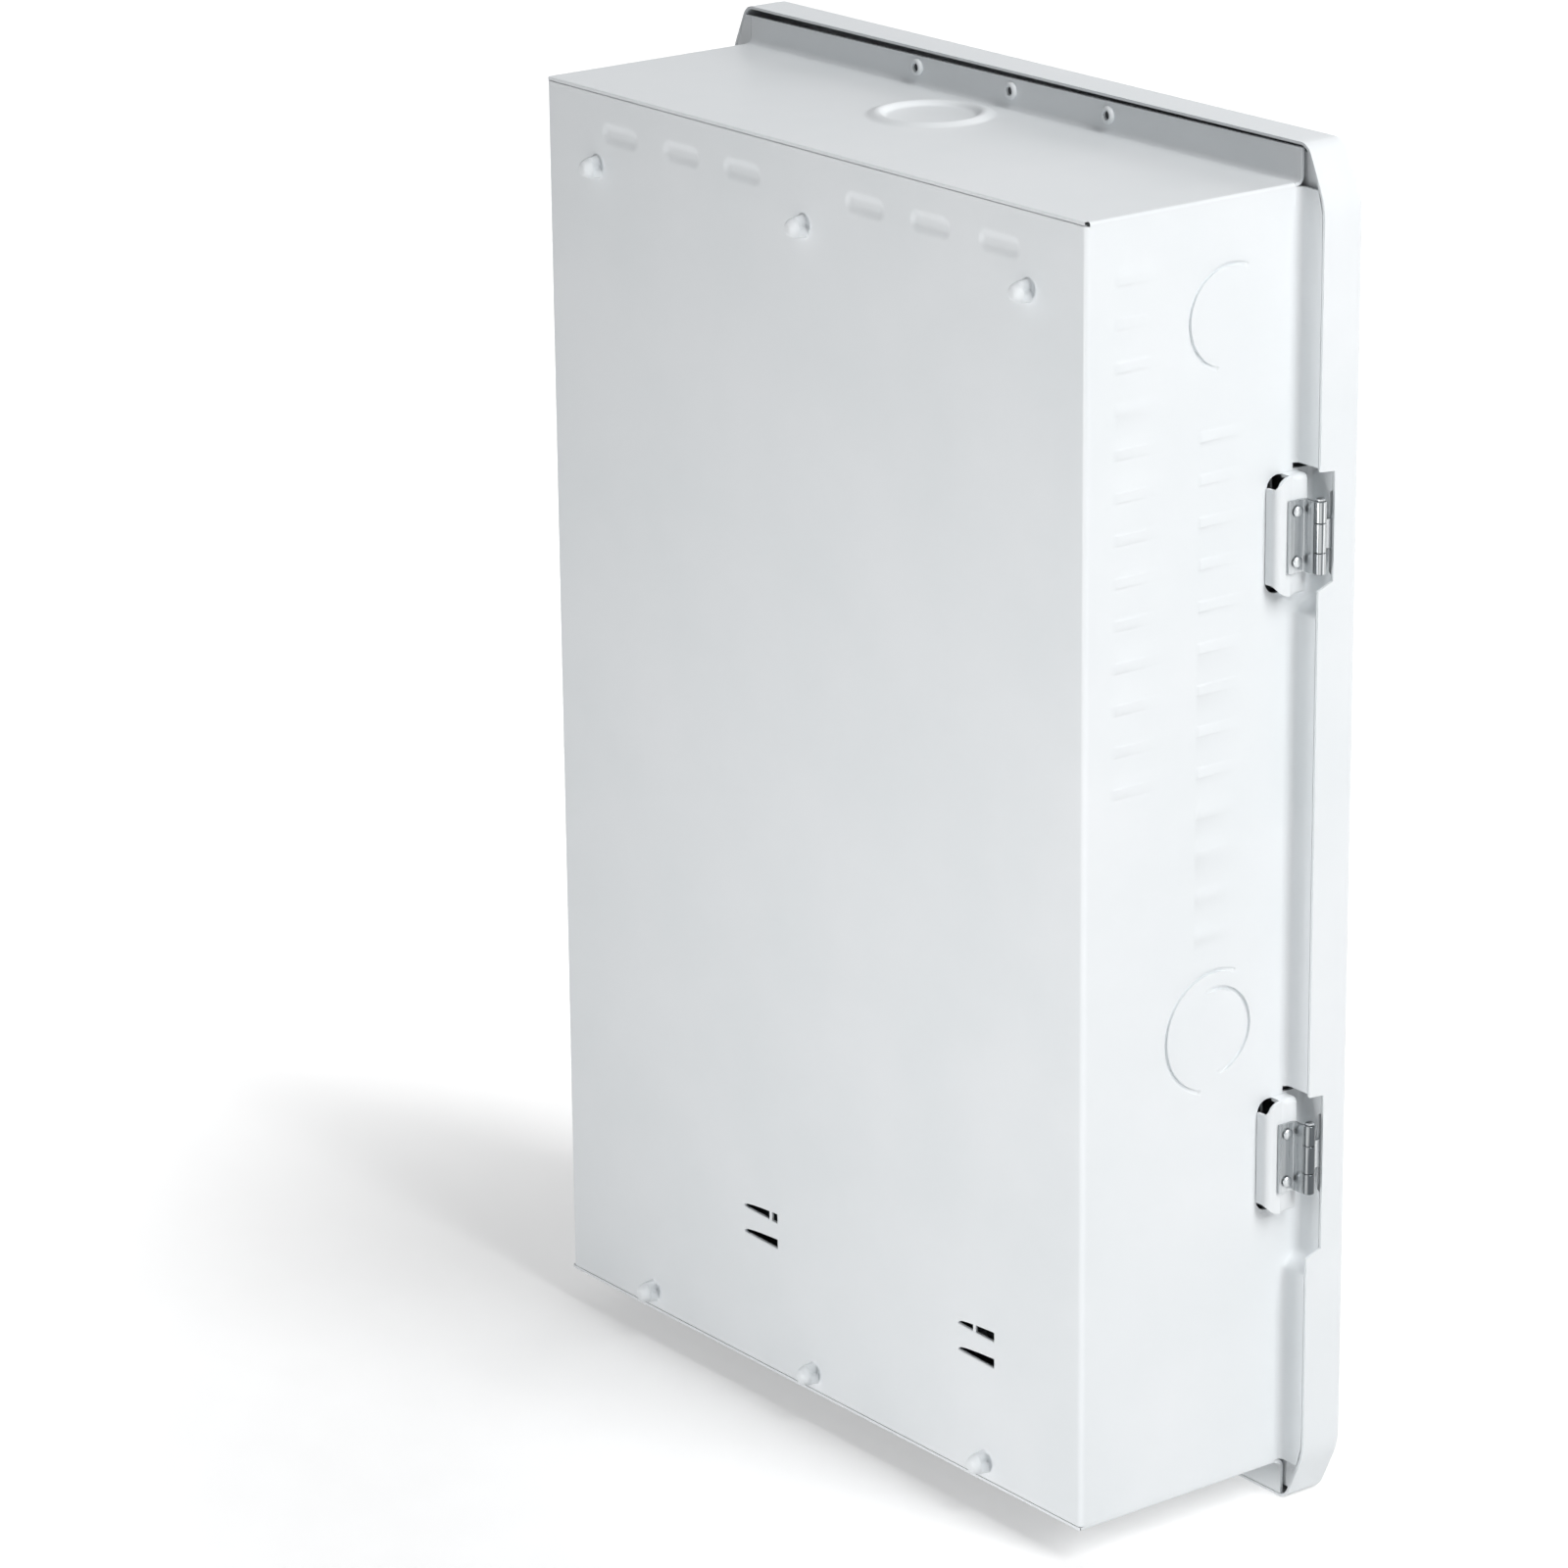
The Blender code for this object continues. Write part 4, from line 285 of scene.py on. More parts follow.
def panel(u, v, place, patches=(), rise=None):
    """Wall over the lines u and v, with height rise(u, v). Each patch drops the cells of its box and carries
    rings from the box's edge to its own outlines, so a drawn form joins the wall without a seam.
    A patch is (u, v, half u, half v, line count, outline, rings); place turns (u, v, height) into points."""
    for cu, cv, hu, hv, count, _, _ in patches:
        u = lines(u, np.linspace(cu - hu, cu + hu, count))
        v = lines(v, np.linspace(cv - hv, cv + hv, count))
    grid_u, grid_v = np.meshgrid(u, v, indexing="ij")
    height = rise(grid_u, grid_v) if rise else np.zeros_like(grid_u)
    stack = [np.stack([grid_u, grid_v, height], -1).reshape(-1, 3)]
    index = np.arange(grid_u.size).reshape(grid_u.shape)
    keep = np.ones((len(u) - 1, len(v) - 1), bool)
    faces, total = [], grid_u.size
    for cu, cv, hu, hv, _, outline, rings in patches:
        i0, i1 = np.searchsorted(u, np.array((cu - hu, cu + hu)) - TOLERANCE)
        j0, j1 = np.searchsorted(v, np.array((cv - hv, cv + hv)) - TOLERANCE)
        keep[i0:i1, j0:j1] = False
        last = np.concatenate([index[i0:i1, j0], index[i1, j0:j1], index[i1:i0:-1, j1], index[i0, j1:j0:-1]])
        edge = stack[0][last, :2] - (cu, cv)
        for ring in rings:
            new = total + np.arange(len(last))
            stack.append(outline(edge, *ring) + (cu, cv, 0))
            faces.append(np.stack([last, np.roll(last, -1), np.roll(new, -1), new], -1))
            last, total = new, total + len(last)
    cells = np.stack([index[:-1, :-1], index[1:, :-1], index[1:, 1:], index[:-1, 1:]], -1)[keep]
    flat = np.concatenate(stack)
    return place(flat[:, 0], flat[:, 1], flat[:, 2]), np.concatenate([cells] + faces)


def piece(name, shell, finish, body, nodes=(), sharp=38.0):
    """Welds the shell's doubles, drops faces that closed up, and makes it a smooth-shaded object that
    rides on a body."""
    points, faces = shell
    _, first, to = np.unique(np.round(points, 3), axis=0, return_index=True, return_inverse=True)
    points, faces = points[first], to.reshape(-1)[faces]
    same = faces == np.roll(faces, -1, 1)
    quads = faces[~same.any(1)]
    once = faces[same.sum(1) == 1]
    drop = same[same.sum(1) == 1].argmax(1)
    threes = np.take_along_axis(once, (drop[:, None] + np.array([1, 2, 3])) % 4, 1)
    used, order = np.unique(np.concatenate([quads.ravel(), threes.ravel()]), return_inverse=True)
    quads, threes = order[:quads.size].reshape(-1, 4), order[quads.size:].reshape(-1, 3)
    mesh = bpy.data.meshes.new(name)
    mesh.from_pydata((points[used] * MM).tolist(), [], quads.tolist() + threes.tolist())
    mesh.polygons.foreach_set("use_smooth", np.ones(len(mesh.polygons), bool))
    mesh.set_sharp_from_angle(angle=math.radians(sharp))
    mesh.materials.append(finish)
    obj = bpy.data.objects.new(name, mesh)
    scene.collection.objects.link(obj)
    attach(obj, body)
    if nodes:
        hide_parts(*nodes)
    return obj


def points_at(x, depth, z):
    """Points from x, depth forwards of the outer back, and z."""
    x, depth, z = np.broadcast_arrays(np.asarray(x, float), depth, z)
    return np.stack([x, BACK_Y - depth, z], -1)


# Finishes
def linear(code):
    """sRGB hex code to linear red, green, blue and full alpha."""
    part = np.array([int(code[k:k + 2], 16) for k in (1, 3, 5)]) / 255
    return tuple(np.where(part <= 0.04045, part / 12.92, ((part + 0.055) / 1.055) ** 2.4)) + (1.0,)


def add(tree, kind, inputs=None, stops=(), **settings):
    """Adds one shader node, sets its settings and any ramp stops (place, hex), and sets or links
    its inputs."""
    made = tree.nodes.new("ShaderNode" + kind)
    for k, (place, code) in enumerate(stops):
        stop = made.color_ramp.elements[k] if k < 2 else made.color_ramp.elements.new(place)
        stop.position, stop.color = place, linear(code)
    for key, value in settings.items():
        setattr(made, key, value)
    for key, value in (inputs or {}).items():
        if isinstance(value, bpy.types.NodeSocket):
            tree.links.new(value, made.inputs[key])
        else:
            made.inputs[key].default_value = value
    return made


def start(name):
    """Empty material with its output, a principled shader and object coordinates."""
    material = bpy.data.materials.new(name)
    material.use_nodes = True
    tree = material.node_tree
    tree.nodes.clear()
    shader = add(tree, "BsdfPrincipled")
    add(tree, "OutputMaterial", {"Surface": shader.outputs[0]})
    return material, tree, shader, add(tree, "TexCoord").outputs["Object"]


def dress(tree, shader, tone, gloss, bump):
    """Gives the shader its colour from a ramp, its roughness from a range and its normal from a bump."""
    tree.links.new(tone.outputs["Color"], shader.inputs["Base Color"])
    tree.links.new(gloss.outputs["Result"], shader.inputs["Roughness"])
    tree.links.new(bump.outputs["Normal"], shader.inputs["Normal"])


def per_metre(size):
    """Scale of a pattern from the size of its features in millimetres."""
    return 1 / (size * MM)


def sprayed_coat(name, stops, peel, rough):
    """Powder coat on steel sheet: baked powder flows into a fine orange peel with a soft satin gloss,
    and the coat's thickness drifts slowly, which shifts tone and gloss a little over a hand's width."""
    material, tree, shader, where = start(name)
    drift = add(tree, "TexNoise", {"Vector": where, "Scale": per_metre(70), "Detail": 3.0})
    tone = add(tree, "ValToRGB", {"Fac": drift.outputs["Fac"]}, stops)
    gloss = add(tree, "MapRange", {"Value": drift.outputs["Fac"], "From Min": 0.3, "From Max": 0.7,
                                   "To Min": rough - 0.04, "To Max": rough + 0.05})
    ripple = add(tree, "TexNoise", {"Vector": where, "Scale": per_metre(peel), "Detail": 2.0,
                                    "Roughness": 0.45})
    bump = add(tree, "Bump", {"Height": ripple.outputs["Fac"], "Strength": 0.10, "Distance": 0.12 * MM})
    dress(tree, shader, tone, gloss, bump)
    shader.inputs["IOR"].default_value = 1.5
    return material


def rolled_metal(name, stops, streak, rough, bump_depth):
    """Rolled or plated metal: streaks along the rolling direction break up the reflection. streak is their
    size along x, y and z; real ones are finer, and these are drawn as coarse as they need to show."""
    material, tree, shader, where = start(name)
    stretch = add(tree, "Mapping", {"Vector": where, "Scale": [per_metre(size) for size in streak]})
    grain = add(tree, "TexNoise", {"Vector": stretch.outputs[0], "Scale": 1.0, "Detail": 5.0,
                                   "Roughness": 0.6})
    tone = add(tree, "ValToRGB", {"Fac": grain.outputs["Fac"]}, stops)
    gloss = add(tree, "MapRange", {"Value": grain.outputs["Fac"], "From Min": 0.25, "From Max": 0.75,
                                   "To Min": rough[0], "To Max": rough[1]})
    bump = add(tree, "Bump", {"Height": grain.outputs["Fac"], "Strength": 0.25, "Distance": bump_depth * MM})
    dress(tree, shader, tone, gloss, bump)
    shader.inputs["Metallic"].default_value = 1.0
    return material


def spangled_zinc(name):
    """Hot-dip galvanised sheet: zinc freezes into leaf-like spangles about 9 mm across, each with a tone
    of its own."""
    material, tree, shader, where = start(name)
    spangle = add(tree, "TexVoronoi", {"Vector": where, "Scale": per_metre(9)})
    leaf = add(tree, "SeparateColor", {"Color": spangle.outputs["Color"]})
    frost = add(tree, "TexNoise", {"Vector": where, "Scale": per_metre(1.6), "Detail": 3.0})
    mixed = add(tree, "Math", {0: leaf.outputs[0], 1: frost.outputs["Fac"]}, operation="ADD")
    half = add(tree, "Math", {0: mixed.outputs[0], 1: 0.5}, operation="MULTIPLY")
    tone = add(tree, "ValToRGB", {"Fac": half.outputs[0]}, ((0.2, "#A3A8AB"), (0.8, "#CDD0D1")))
    gloss = add(tree, "MapRange", {"Value": half.outputs[0], "To Min": 0.34, "To Max": 0.52})
    bump = add(tree, "Bump", {"Height": frost.outputs["Fac"], "Strength": 0.15, "Distance": 0.08 * MM})
    dress(tree, shader, tone, gloss, bump)
    shader.inputs["Metallic"].default_value = 1.0
    return material


def moulded(name, stops, grit, rough):
    """Moulded thermoset or thermoplastic: the tool's spark-eroded grain gives a fine matt texture,
    and the filler makes the colour cloud a little. The grain is drawn as coarse as it needs to show."""
    material, tree, shader, where = start(name)
    cloud = add(tree, "TexNoise", {"Vector": where, "Scale": per_metre(12), "Detail": 4.0})
    tone = add(tree, "ValToRGB", {"Fac": cloud.outputs["Fac"]}, stops)
    grain = add(tree, "TexNoise", {"Vector": where, "Scale": per_metre(grit), "Detail": 2.0})
    gloss = add(tree, "MapRange", {"Value": grain.outputs["Fac"], "To Min": rough - 0.06,
                                   "To Max": rough + 0.08})
    bump = add(tree, "Bump", {"Height": grain.outputs["Fac"], "Strength": 0.22, "Distance": 0.10 * MM})
    dress(tree, shader, tone, gloss, bump)
    shader.inputs["IOR"].default_value = 1.52
    return material


FINISHES = {
    # The box and door: a bright, slightly cool white with soft highlights.
    "white_paint": sprayed_coat("white_powder_coat", ((0.3, "#ECF0F2"), (0.7, "#F1F4F6")), 1.2, 0.42),
    # The deadfront: the same coat in mid grey, a little duller.
    "grey_paint": sprayed_coat("grey_powder_coat", ((0.3, "#9DA2A5"), (0.7, "#A9AEB1")), 1.2, 0.46),
    # Hinges, latch and fasteners: bright plating with upright streaks of light and dark.
    "zinc_steel": rolled_metal("zinc_plated_steel", ((0.30, "#9DA1A4"), (0.70, "#CDD0D1")),
                               (2.381, 2.381, 71.43), (0.22, 0.40), 0.03),
    # Pan, rails and strike: a cool, patchy grey.
    "galvanised": spangled_zinc("hot_dip_galvanised_sheet"),
    # Breaker cases and latch knob: a matt near-black.
    "black_moulding": moulded("black_phenolic_moulding", ((0.3, "#1D1E20"), (0.7, "#27282B")), 0.7, 0.52),
    # Bus base: a matt dark grey, lighter than the breakers on it.
    "base_moulding": moulded("charcoal_polyester_moulding", ((0.3, "#3B3E42"), (0.7, "#484B50")), 0.8, 0.56),
    # Bus bars: tin has a soft, slightly warm sheen.
    "tinned_bus": rolled_metal("tin_plated_bus_bar", ((0.25, "#C6C6C0"), (0.75, "#DEDED9")),
                               (2.0, 2.0, 11.11), (0.30, 0.46), 0.02),
    # Terminal bars and lugs: pale metal with fine die lines.
    "bare_aluminium": rolled_metal("extruded_aluminium", ((0.25, "#C4C6C9"), (0.75, "#DFE1E3")),
                                   (0.9091, 0.9091, 25.0), (0.30, 0.46), 0.03),
    # Breaker handles: warm off-white with a slight gloss.
    "handle_moulding": moulded("pale_nylon_handle", ((0.3, "#CFCCC2"), (0.7, "#DAD7CE")), 0.5, 0.42),
}
for subpart in frame["record"]["subparts"]:
    node = frame["nodes"][subpart["node"]]
    node.data.materials.clear()
    node.data.materials.append(FINISHES[subpart["material_slot"]])


# Box: back and sides
# Rings of a boss from its foot to its tip: radius, height, and how far its open side is hollowed.
BOSS_RINGS = ((7.1, 0, 0), (6.3, -0.03, 0), (5.6, -0.08, 0.2), (5.2, 0.0, 1.0), (4.95, 0.2, 2.8),
              (4.85, 0.7, 3.6), (4.75, 1.8, 3.8), (4.65, 3.2, 3.6), (4.6, 4.2, 3.0), (4.5, 4.7, 1.2),
              (4.4, 5.0, 0.1), (4.2, 5.6, 0), (3.8, 6.6, 0), (3.25, 7.5, 0), (2.6, 8.1, 0), (1.8, 8.42, 0),
              (1.0, 8.5, 0), (0, 8.5, 0))
# Rings of a dimple from its edge to its middle: radius round its core, and height.
DIMPLE_RINGS = ((5.4, 0), (4.8, -0.05), (4.1, -0.22), (3.4, -0.5), (2.6, -0.8), (1.8, -1.02), (0.9, -1.1),
                (0, -1.1))
# Rings of a slit from the wall into its cut: growth of its outline, and height.
SLIT_RINGS = ((1.0, 0), (0.35, -0.06), (0.1, -0.3), (0, -0.7), (0, -SHEET))
# Rings of a knockout's groove from its outer to its inner lip: distance from its radius, and height.
GROOVE_FLOOR = -SHEET - 0.9
GROOVE_RINGS = ((1.2, 0), (0.9, -0.06), (0.85, GROOVE_FLOOR), (-0.85, GROOVE_FLOOR), (-0.95, -0.10),
                (-1.5, 0))


def knockout(u, v, radius, count, deepest, inner=()):
    """Patch of a half-sheared round blank: a thin groove, deepest on the side where the blank is pushed
    through, and inside it either another such groove or a flat floor."""
    rings = [(radius + off, height, deepest) for off, height in GROOVE_RINGS]
    middle, towards = inner if inner else (radius, deepest)
    if inner:
        rings += [(middle + off, height, towards) for off, height in GROOVE_RINGS]
    rings += [(middle * 0.5, 0, towards), (0, 0, towards)]
    half = radius + KNOCKOUT_MARGIN
    return u, v, half, half, count, sheared_outline, rings


def back_panel():
    """Back of the box: bosses, dimples and slits drawn into a flat wall, with the inner face behind it."""
    edge = HALF_WIDTH - BACK_CORNER - MARGIN
    u = np.linspace(-edge, edge, 30)
    v = np.linspace(-WRAP_END, WRAP_END, 44)
    drawn = [(x, z, BOSS_PATCH, BOSS_PATCH, 17, boss_outline, BOSS_RINGS) for x, z in BOSS_PLACES]
    obround = round_outline(DIMPLE_CORE)
    drawn += [(x, DIMPLE_Z, *DIMPLE_PATCH, 13, obround, DIMPLE_RINGS) for x in DIMPLE_X]
    slits = [(x, z + side * SLIT_PITCH / 2) for x, z, _ in SLIT_PAIRS for side in (-1, 1)]
    drawn += [(x, z, *SLIT_PATCH, 21, wedge_outline, SLIT_RINGS) for x, z in slits]
    outer = panel(u, v, lambda a, b, h: points_at(a, -h, b), drawn)
    through = [(x, z, *SLIT_PATCH, 21, wedge_outline, ((0, 0),)) for x, z in slits]
    edge = HALF_WIDTH - SHEET
    inner = panel(lines(u, (-edge, edge)), v, lambda a, b, h: points_at(a, SHEET, b), through)
    shells = [facing(outer, (0, 1, 0)), facing(inner, (0, -1, 0))]
    for x, z, share in SLIT_PAIRS:
        middle = x + SLIT_LENGTH / 2 - share * SLIT_LENGTH
        row = z + SLIT_PITCH / 2
        across, up = np.meshgrid((middle - BRIDGE_HALF, middle + BRIDGE_HALF),
                                 (row - BRIDGE_REACH, row + BRIDGE_REACH), indexing="ij")
        shells.append(plate(points_at(across, BRIDGE_SET_IN, up), BACKWARDS, BRIDGE_SHEET))
    return joined(*shells)


def corner_bend(side):
    """Back corner: a quarter turn carried up the box, with a flat margin at each end."""
    turn = np.linspace(0, math.pi / 2, 7)
    flat = HALF_WIDTH - BACK_CORNER
    x = np.concatenate([[flat - MARGIN], flat + BACK_CORNER * np.sin(turn), [HALF_WIDTH]])
    depth = np.concatenate([[0], BACK_CORNER - BACK_CORNER * np.cos(turn), [BACK_CORNER + MARGIN]])
    v = np.linspace(-WRAP_END, WRAP_END, 30)
    return facing(lattice(points_at(side * x[:, None], depth[:, None], v[None])), (side, 1, 0))


def lance_rise(depth, z):
    """Lances: each rises sharply at its rear end and runs back down to the wall."""
    height = np.zeros_like(depth)
    for start_depth, drop in LANCE_COLUMNS:
        run = (depth - start_depth) / LANCE_LENGTH
        slope = np.where((run >= 0) & (run <= 1), np.minimum(run / LANCE_NOSE, 1) * (1 - run), 0)
        row = (HALF_HEIGHT - drop - z) / LANCE_PITCH
        near = np.clip(np.round(row), 0, LANCE_COUNT - 1)
        off = np.abs(row - near) * LANCE_PITCH
        height = np.maximum(height, LANCE_RISE * slope * np.clip((LANCE_HALF - off) / LANCE_FLANK, 0, 1))
    return height


def side_panel(side):
    """Side wall: two knockouts pressed in, and on the hinge side two columns of lances and an opening under
    each hinge pad."""
    u = np.linspace(BACK_CORNER + MARGIN, BEND_START - MARGIN, 12)
    v = np.linspace(-WRAP_END, WRAP_END, 40)
    rise = None
    if side < 0:
        rise = lance_rise
        for start_depth, drop in LANCE_COLUMNS:
            u = lines(u, start_depth + LANCE_LENGTH * np.array((0, LANCE_NOSE, 0.16, 0.36, 0.64, 1)))
            rows = HALF_HEIGHT - drop - LANCE_PITCH * np.arange(LANCE_COUNT)
            flat = LANCE_HALF - LANCE_FLANK
            v = lines(v, rows - LANCE_HALF, rows - flat, rows + flat, rows + LANCE_HALF)
    opening = opening_outline(*OPENING_HALF, OPENING_CORNER)
    through = [(OPENING_DEPTH, z, *OPENING_PATCH, 17, opening) for z in HINGE_Z.values()] if side < 0 else []
    patches = [knockout(*row) for row in SIDE_KNOCKOUTS]
    patches += [hole + (((0.0,), (-SHEET,)),) for hole in through]
    outer = panel(u, v, lambda a, b, h: points_at(side * (HALF_WIDTH + h), a, b), patches, rise)
    inner = panel(np.linspace(SHEET, BEND_START, 12), np.linspace(-WRAP_END, WRAP_END, 30),
                  lambda a, b, h: points_at(side * (HALF_WIDTH - SHEET), a, b),
                  [hole + (((0.0,),),) for hole in through])
    return joined(facing(outer, (side, 0, 0)), facing(inner, (-side, 0, 0)))


def flange_section(tip):
    """Section of a wall's front bend and flange, as (out, depth) from the wall with its outward normals;
    tip is the flange's reach at each place along the wall."""
    turn = np.linspace(0, math.pi / 2, 7)
    steps = np.linspace(0, 1, 6)[1:]
    bend = np.broadcast_to((BEND - BEND * np.cos(turn))[:, None], (len(turn), len(tip)))
    flat = BEND + steps[:, None] * (tip - BEND)
    out = np.concatenate([np.zeros((1, len(tip))), bend, flat])
    depth = np.concatenate([[BEND_START - MARGIN], BEND_START + BEND * np.sin(turn),
                            np.full_like(steps, DEPTH)])
    normal_out = np.concatenate([[1], np.cos(turn), np.zeros_like(steps)])
    normal_depth = np.concatenate([[0], -np.sin(turn), -np.ones_like(steps)])
    return out, depth[:, None], normal_out, normal_depth


def joggle(z):
    """Forward step of the hinge-side flange: it eases in below each hinge and ends at the relief slot
    above it."""
    step = np.zeros_like(z)
    for name, hinge in HINGE_Z.items():
        run = np.clip((z - hinge + JOGGLE_BELOW[name]) / JOGGLE, 0, 1)
        step = step + np.where(z < hinge + JOGGLE_ABOVE + RELIEF / 2, JOGGLE * run * run * (3 - 2 * run), 0)
    return step


def door_corner():
    """Upper right corner of the door's outline, from its side to its top: an arc of a large radius, a steep
    straight clip and an arc of a small one. Gives the points, and what an inset of one moves each by."""
    lean = math.atan2(*DOOR_CLIP)
    side = DOOR_HALF[0] - DOOR_BEND, DOOR_HALF[1] - DOOR_CLIP[1] - DOOR_BEND * math.tan(lean / 2)
    reach = DOOR_CREASE * math.tan(math.pi / 4 - lean / 2)
    top = DOOR_HALF[0] - DOOR_CLIP[0] - reach, DOOR_HALF[1] - DOOR_CREASE
    points, shifts = [], []
    for centre, radius, ends in ((side, DOOR_BEND, (0, lean)), (top, DOOR_CREASE, (lean, math.pi / 2))):
        angle = np.linspace(*ends, 7)
        shifts.append(np.stack([np.cos(angle), np.sin(angle)], -1))
        points.append(centre + radius * shifts[-1])
    return np.concatenate(points), np.concatenate(shifts)


def corner_reach(z):
    """Width of a side flange near its ends, where its edge follows the inside of the door's corner."""
    corner, shift = door_corner()
    edge = corner - shift * (DOOR_HALF[0] - HALF_WIDTH - SIDE_FLANGE)
    return np.interp(np.abs(z), edge[:, 1], edge[:, 0]) - HALF_WIDTH


def leaf_relief(z):
    """How much narrower the hinge-side flange is behind each door leaf than above and below it."""
    return LEAF_RELIEF * sum(np.clip(LEAF_CLEAR - np.abs(z - hinge), 0, 1) for hinge in HINGE_Z.values())


def side_flange(side, low, high):
    """Flange between two heights: the section carried up the wall and clipped at the box's corners, and on
    the hinge side set forward by the joggle and relieved behind the door leaves."""
    ramps = [HINGE_Z[n] - JOGGLE_BELOW[n] + np.linspace(0, JOGGLE, 9) for n in HINGE_Z]
    reliefs = [hinge + way * np.array((LEAF_CLEAR - 1, LEAF_CLEAR))
               for hinge in HINGE_Z.values() for way in (-1, 1)]
    z = lines(np.linspace(-WRAP_END, WRAP_END, 60), *ramps, *reliefs, (low, high))
    z = z[(z >= low - TOLERANCE) & (z <= high + TOLERANCE)]
    hinged = side < 0
    step = joggle(z) * hinged
    out, depth, normal_out, normal_depth = flange_section(corner_reach(z) - leaf_relief(z) * hinged)
    moved = np.where(np.arange(len(depth)) > 0, 1.0, 0.0)[:, None]
    points = points_at(side * (HALF_WIDTH + out), depth + moved * step[None], z[None])
    normals = np.stack([side * normal_out, -normal_depth, np.zeros_like(normal_out)], -1)[:, None]
    return plate(points, normals, SHEET)


def corner_lap(across, up):
    """Tab that carries a side flange past the wall's end and closes the corner beside an endwall's flange;
    on the hinge side it is set forward and tucked in behind both flanges."""
    tucked = across < 0
    z = np.linspace(WRAP_END - LAP_TUCK * tucked, HALF_HEIGHT + FLANGE, 8)[None]
    inner = LAP_GAP - LAP_TUCK * tucked
    out = inner + np.linspace(0, 1, 6)[:, None] * (corner_reach(z) - inner)
    depth = DEPTH + LAP_STEP * tucked
    return plate(points_at(across * (HALF_WIDTH + out), depth, up * z), BACKWARDS, SHEET)


def wall_edge(side, low, high):
    """Plain front edge of a side wall at a relief slot."""
    depth, z = np.meshgrid((BEND_START - MARGIN, BEND_START), np.linspace(low, high, 4), indexing="ij")
    return plate(points_at(side * HALF_WIDTH, depth, z), np.array((side, 0.0, 0.0)), SHEET)


def box_wrap():
    """Back and sides as one bent sheet with its four bends and its flanges."""
    shells = [back_panel(), corner_bend(-1), corner_bend(1), side_panel(-1), side_panel(1),
              side_flange(1, -WRAP_END, WRAP_END)]
    foot = -WRAP_END
    for name in ("lower", "upper"):
        slot = HINGE_Z[name] + JOGGLE_ABOVE
        shells += [side_flange(-1, foot, slot), wall_edge(-1, slot, slot + RELIEF)]
        foot = slot + RELIEF
    laps = [corner_lap(across, up) for across in (-1, 1) for up in (-1, 1)]
    return joined(*shells, side_flange(-1, foot, WRAP_END), *laps)


# Box: endwalls
def endwall(side, patches, tips, relief):
    """Endwall with rolled side edges, a seam edge at the back and its front flange, which reaches out to
    the two tips at its hinge and latch ends; relief is what its back corners leave open, and side is 1
    above, -1 below."""
    roll, nose, seam = 1.3, 0.5, 0.02
    edge = HALF_WIDTH - roll
    u = np.linspace(-edge, edge, 24)
    v = np.linspace(nose, BEND_START - MARGIN, 10)
    flat = panel(u, v, lambda a, b, h: points_at(a, b, side * (HALF_HEIGHT + h)), patches)
    shells = [facing(flat, (0, 0, side))]
    turn = np.linspace(0, math.pi / 2, 6)
    for flank in (-1, 1):
        x = np.concatenate([edge + roll * np.sin(turn), [HALF_WIDTH]])
        z = np.concatenate([HALF_HEIGHT - roll + roll * np.cos(turn), [WRAP_END + seam]])
        depth = np.linspace(relief, BEND_START, 12)
        roll_over = lattice(points_at(flank * x[:, None], depth[None], side * z[:, None]))
        shells.append(facing(roll_over, (flank, 0, side)))
    x = np.linspace(-1, 1, 24) * (HALF_WIDTH - relief)
    depth = np.concatenate([nose - nose * np.sin(turn), [0, SHEET]])
    z = np.concatenate([HALF_HEIGHT - nose + nose * np.cos(turn), [HALF_HEIGHT - SHEET, HALF_HEIGHT - SHEET]])
    shells.append(facing(lattice(points_at(x[None], depth[:, None], side * z[:, None])), (0, 1, 0)))
    inside = np.linspace(-1, 1, 12) * (HALF_WIDTH - SHEET)
    x, depth = np.meshgrid(inside, np.linspace(SHEET, BEND_START, 8), indexing="ij")
    shells.append(facing(lattice(points_at(x, depth, side * (HALF_HEIGHT - SHEET))), (0, 0, -side)))
    out, depth, normal_out, normal_depth = flange_section(np.linspace(*tips, 24))
    across = np.linspace(-HALF_WIDTH, HALF_WIDTH, 24)
    points = points_at(across[None], depth, side * (HALF_HEIGHT + out))
    normals = np.stack([np.zeros_like(normal_out), -normal_depth, side * normal_out], -1)[:, None]
    shells.append(plate(points, normals, SHEET))
    return joined(*shells)


# Rings of the conduit hub from its foot to its middle: radius and height.
HUB_RINGS = ((29.0, 0), (28.3, 0.04), (27.5, 0.2), (26.6, 0.5), (25.6, 0.95), (24.7, 1.35), (23.9, 1.6),
             (23.1, 1.7), (22.3, 1.6), (21.6, 1.35), (21.0, 0.95), (20.4, 0.45), (19.9, 0.0), (19.4, -0.35),
             (18.7, -0.55), (17.9, -0.6), (9, -0.6), (0, -0.6))

white = FINISHES["white_paint"]
hub = (*HUB, HUB_PATCH, HUB_PATCH, 37, round_outline(0), HUB_RINGS)
ends = {"top": endwall(1, [hub], TOP_FLANGE, TOP_RELIEF),
        "bottom": endwall(-1, [knockout(*row) for row in BOTTOM_KNOCKOUTS], BOTTOM_FLANGE, BOTTOM_RELIEF)}
piece("box_back_and_sides", box_wrap(), white, "enclosure", ("back_and_sides",), sharp=62)
for name, shell in ends.items():
    piece(f"box_{name}_endwall", shell, white, "enclosure", (name + "_endwall",), sharp=62)


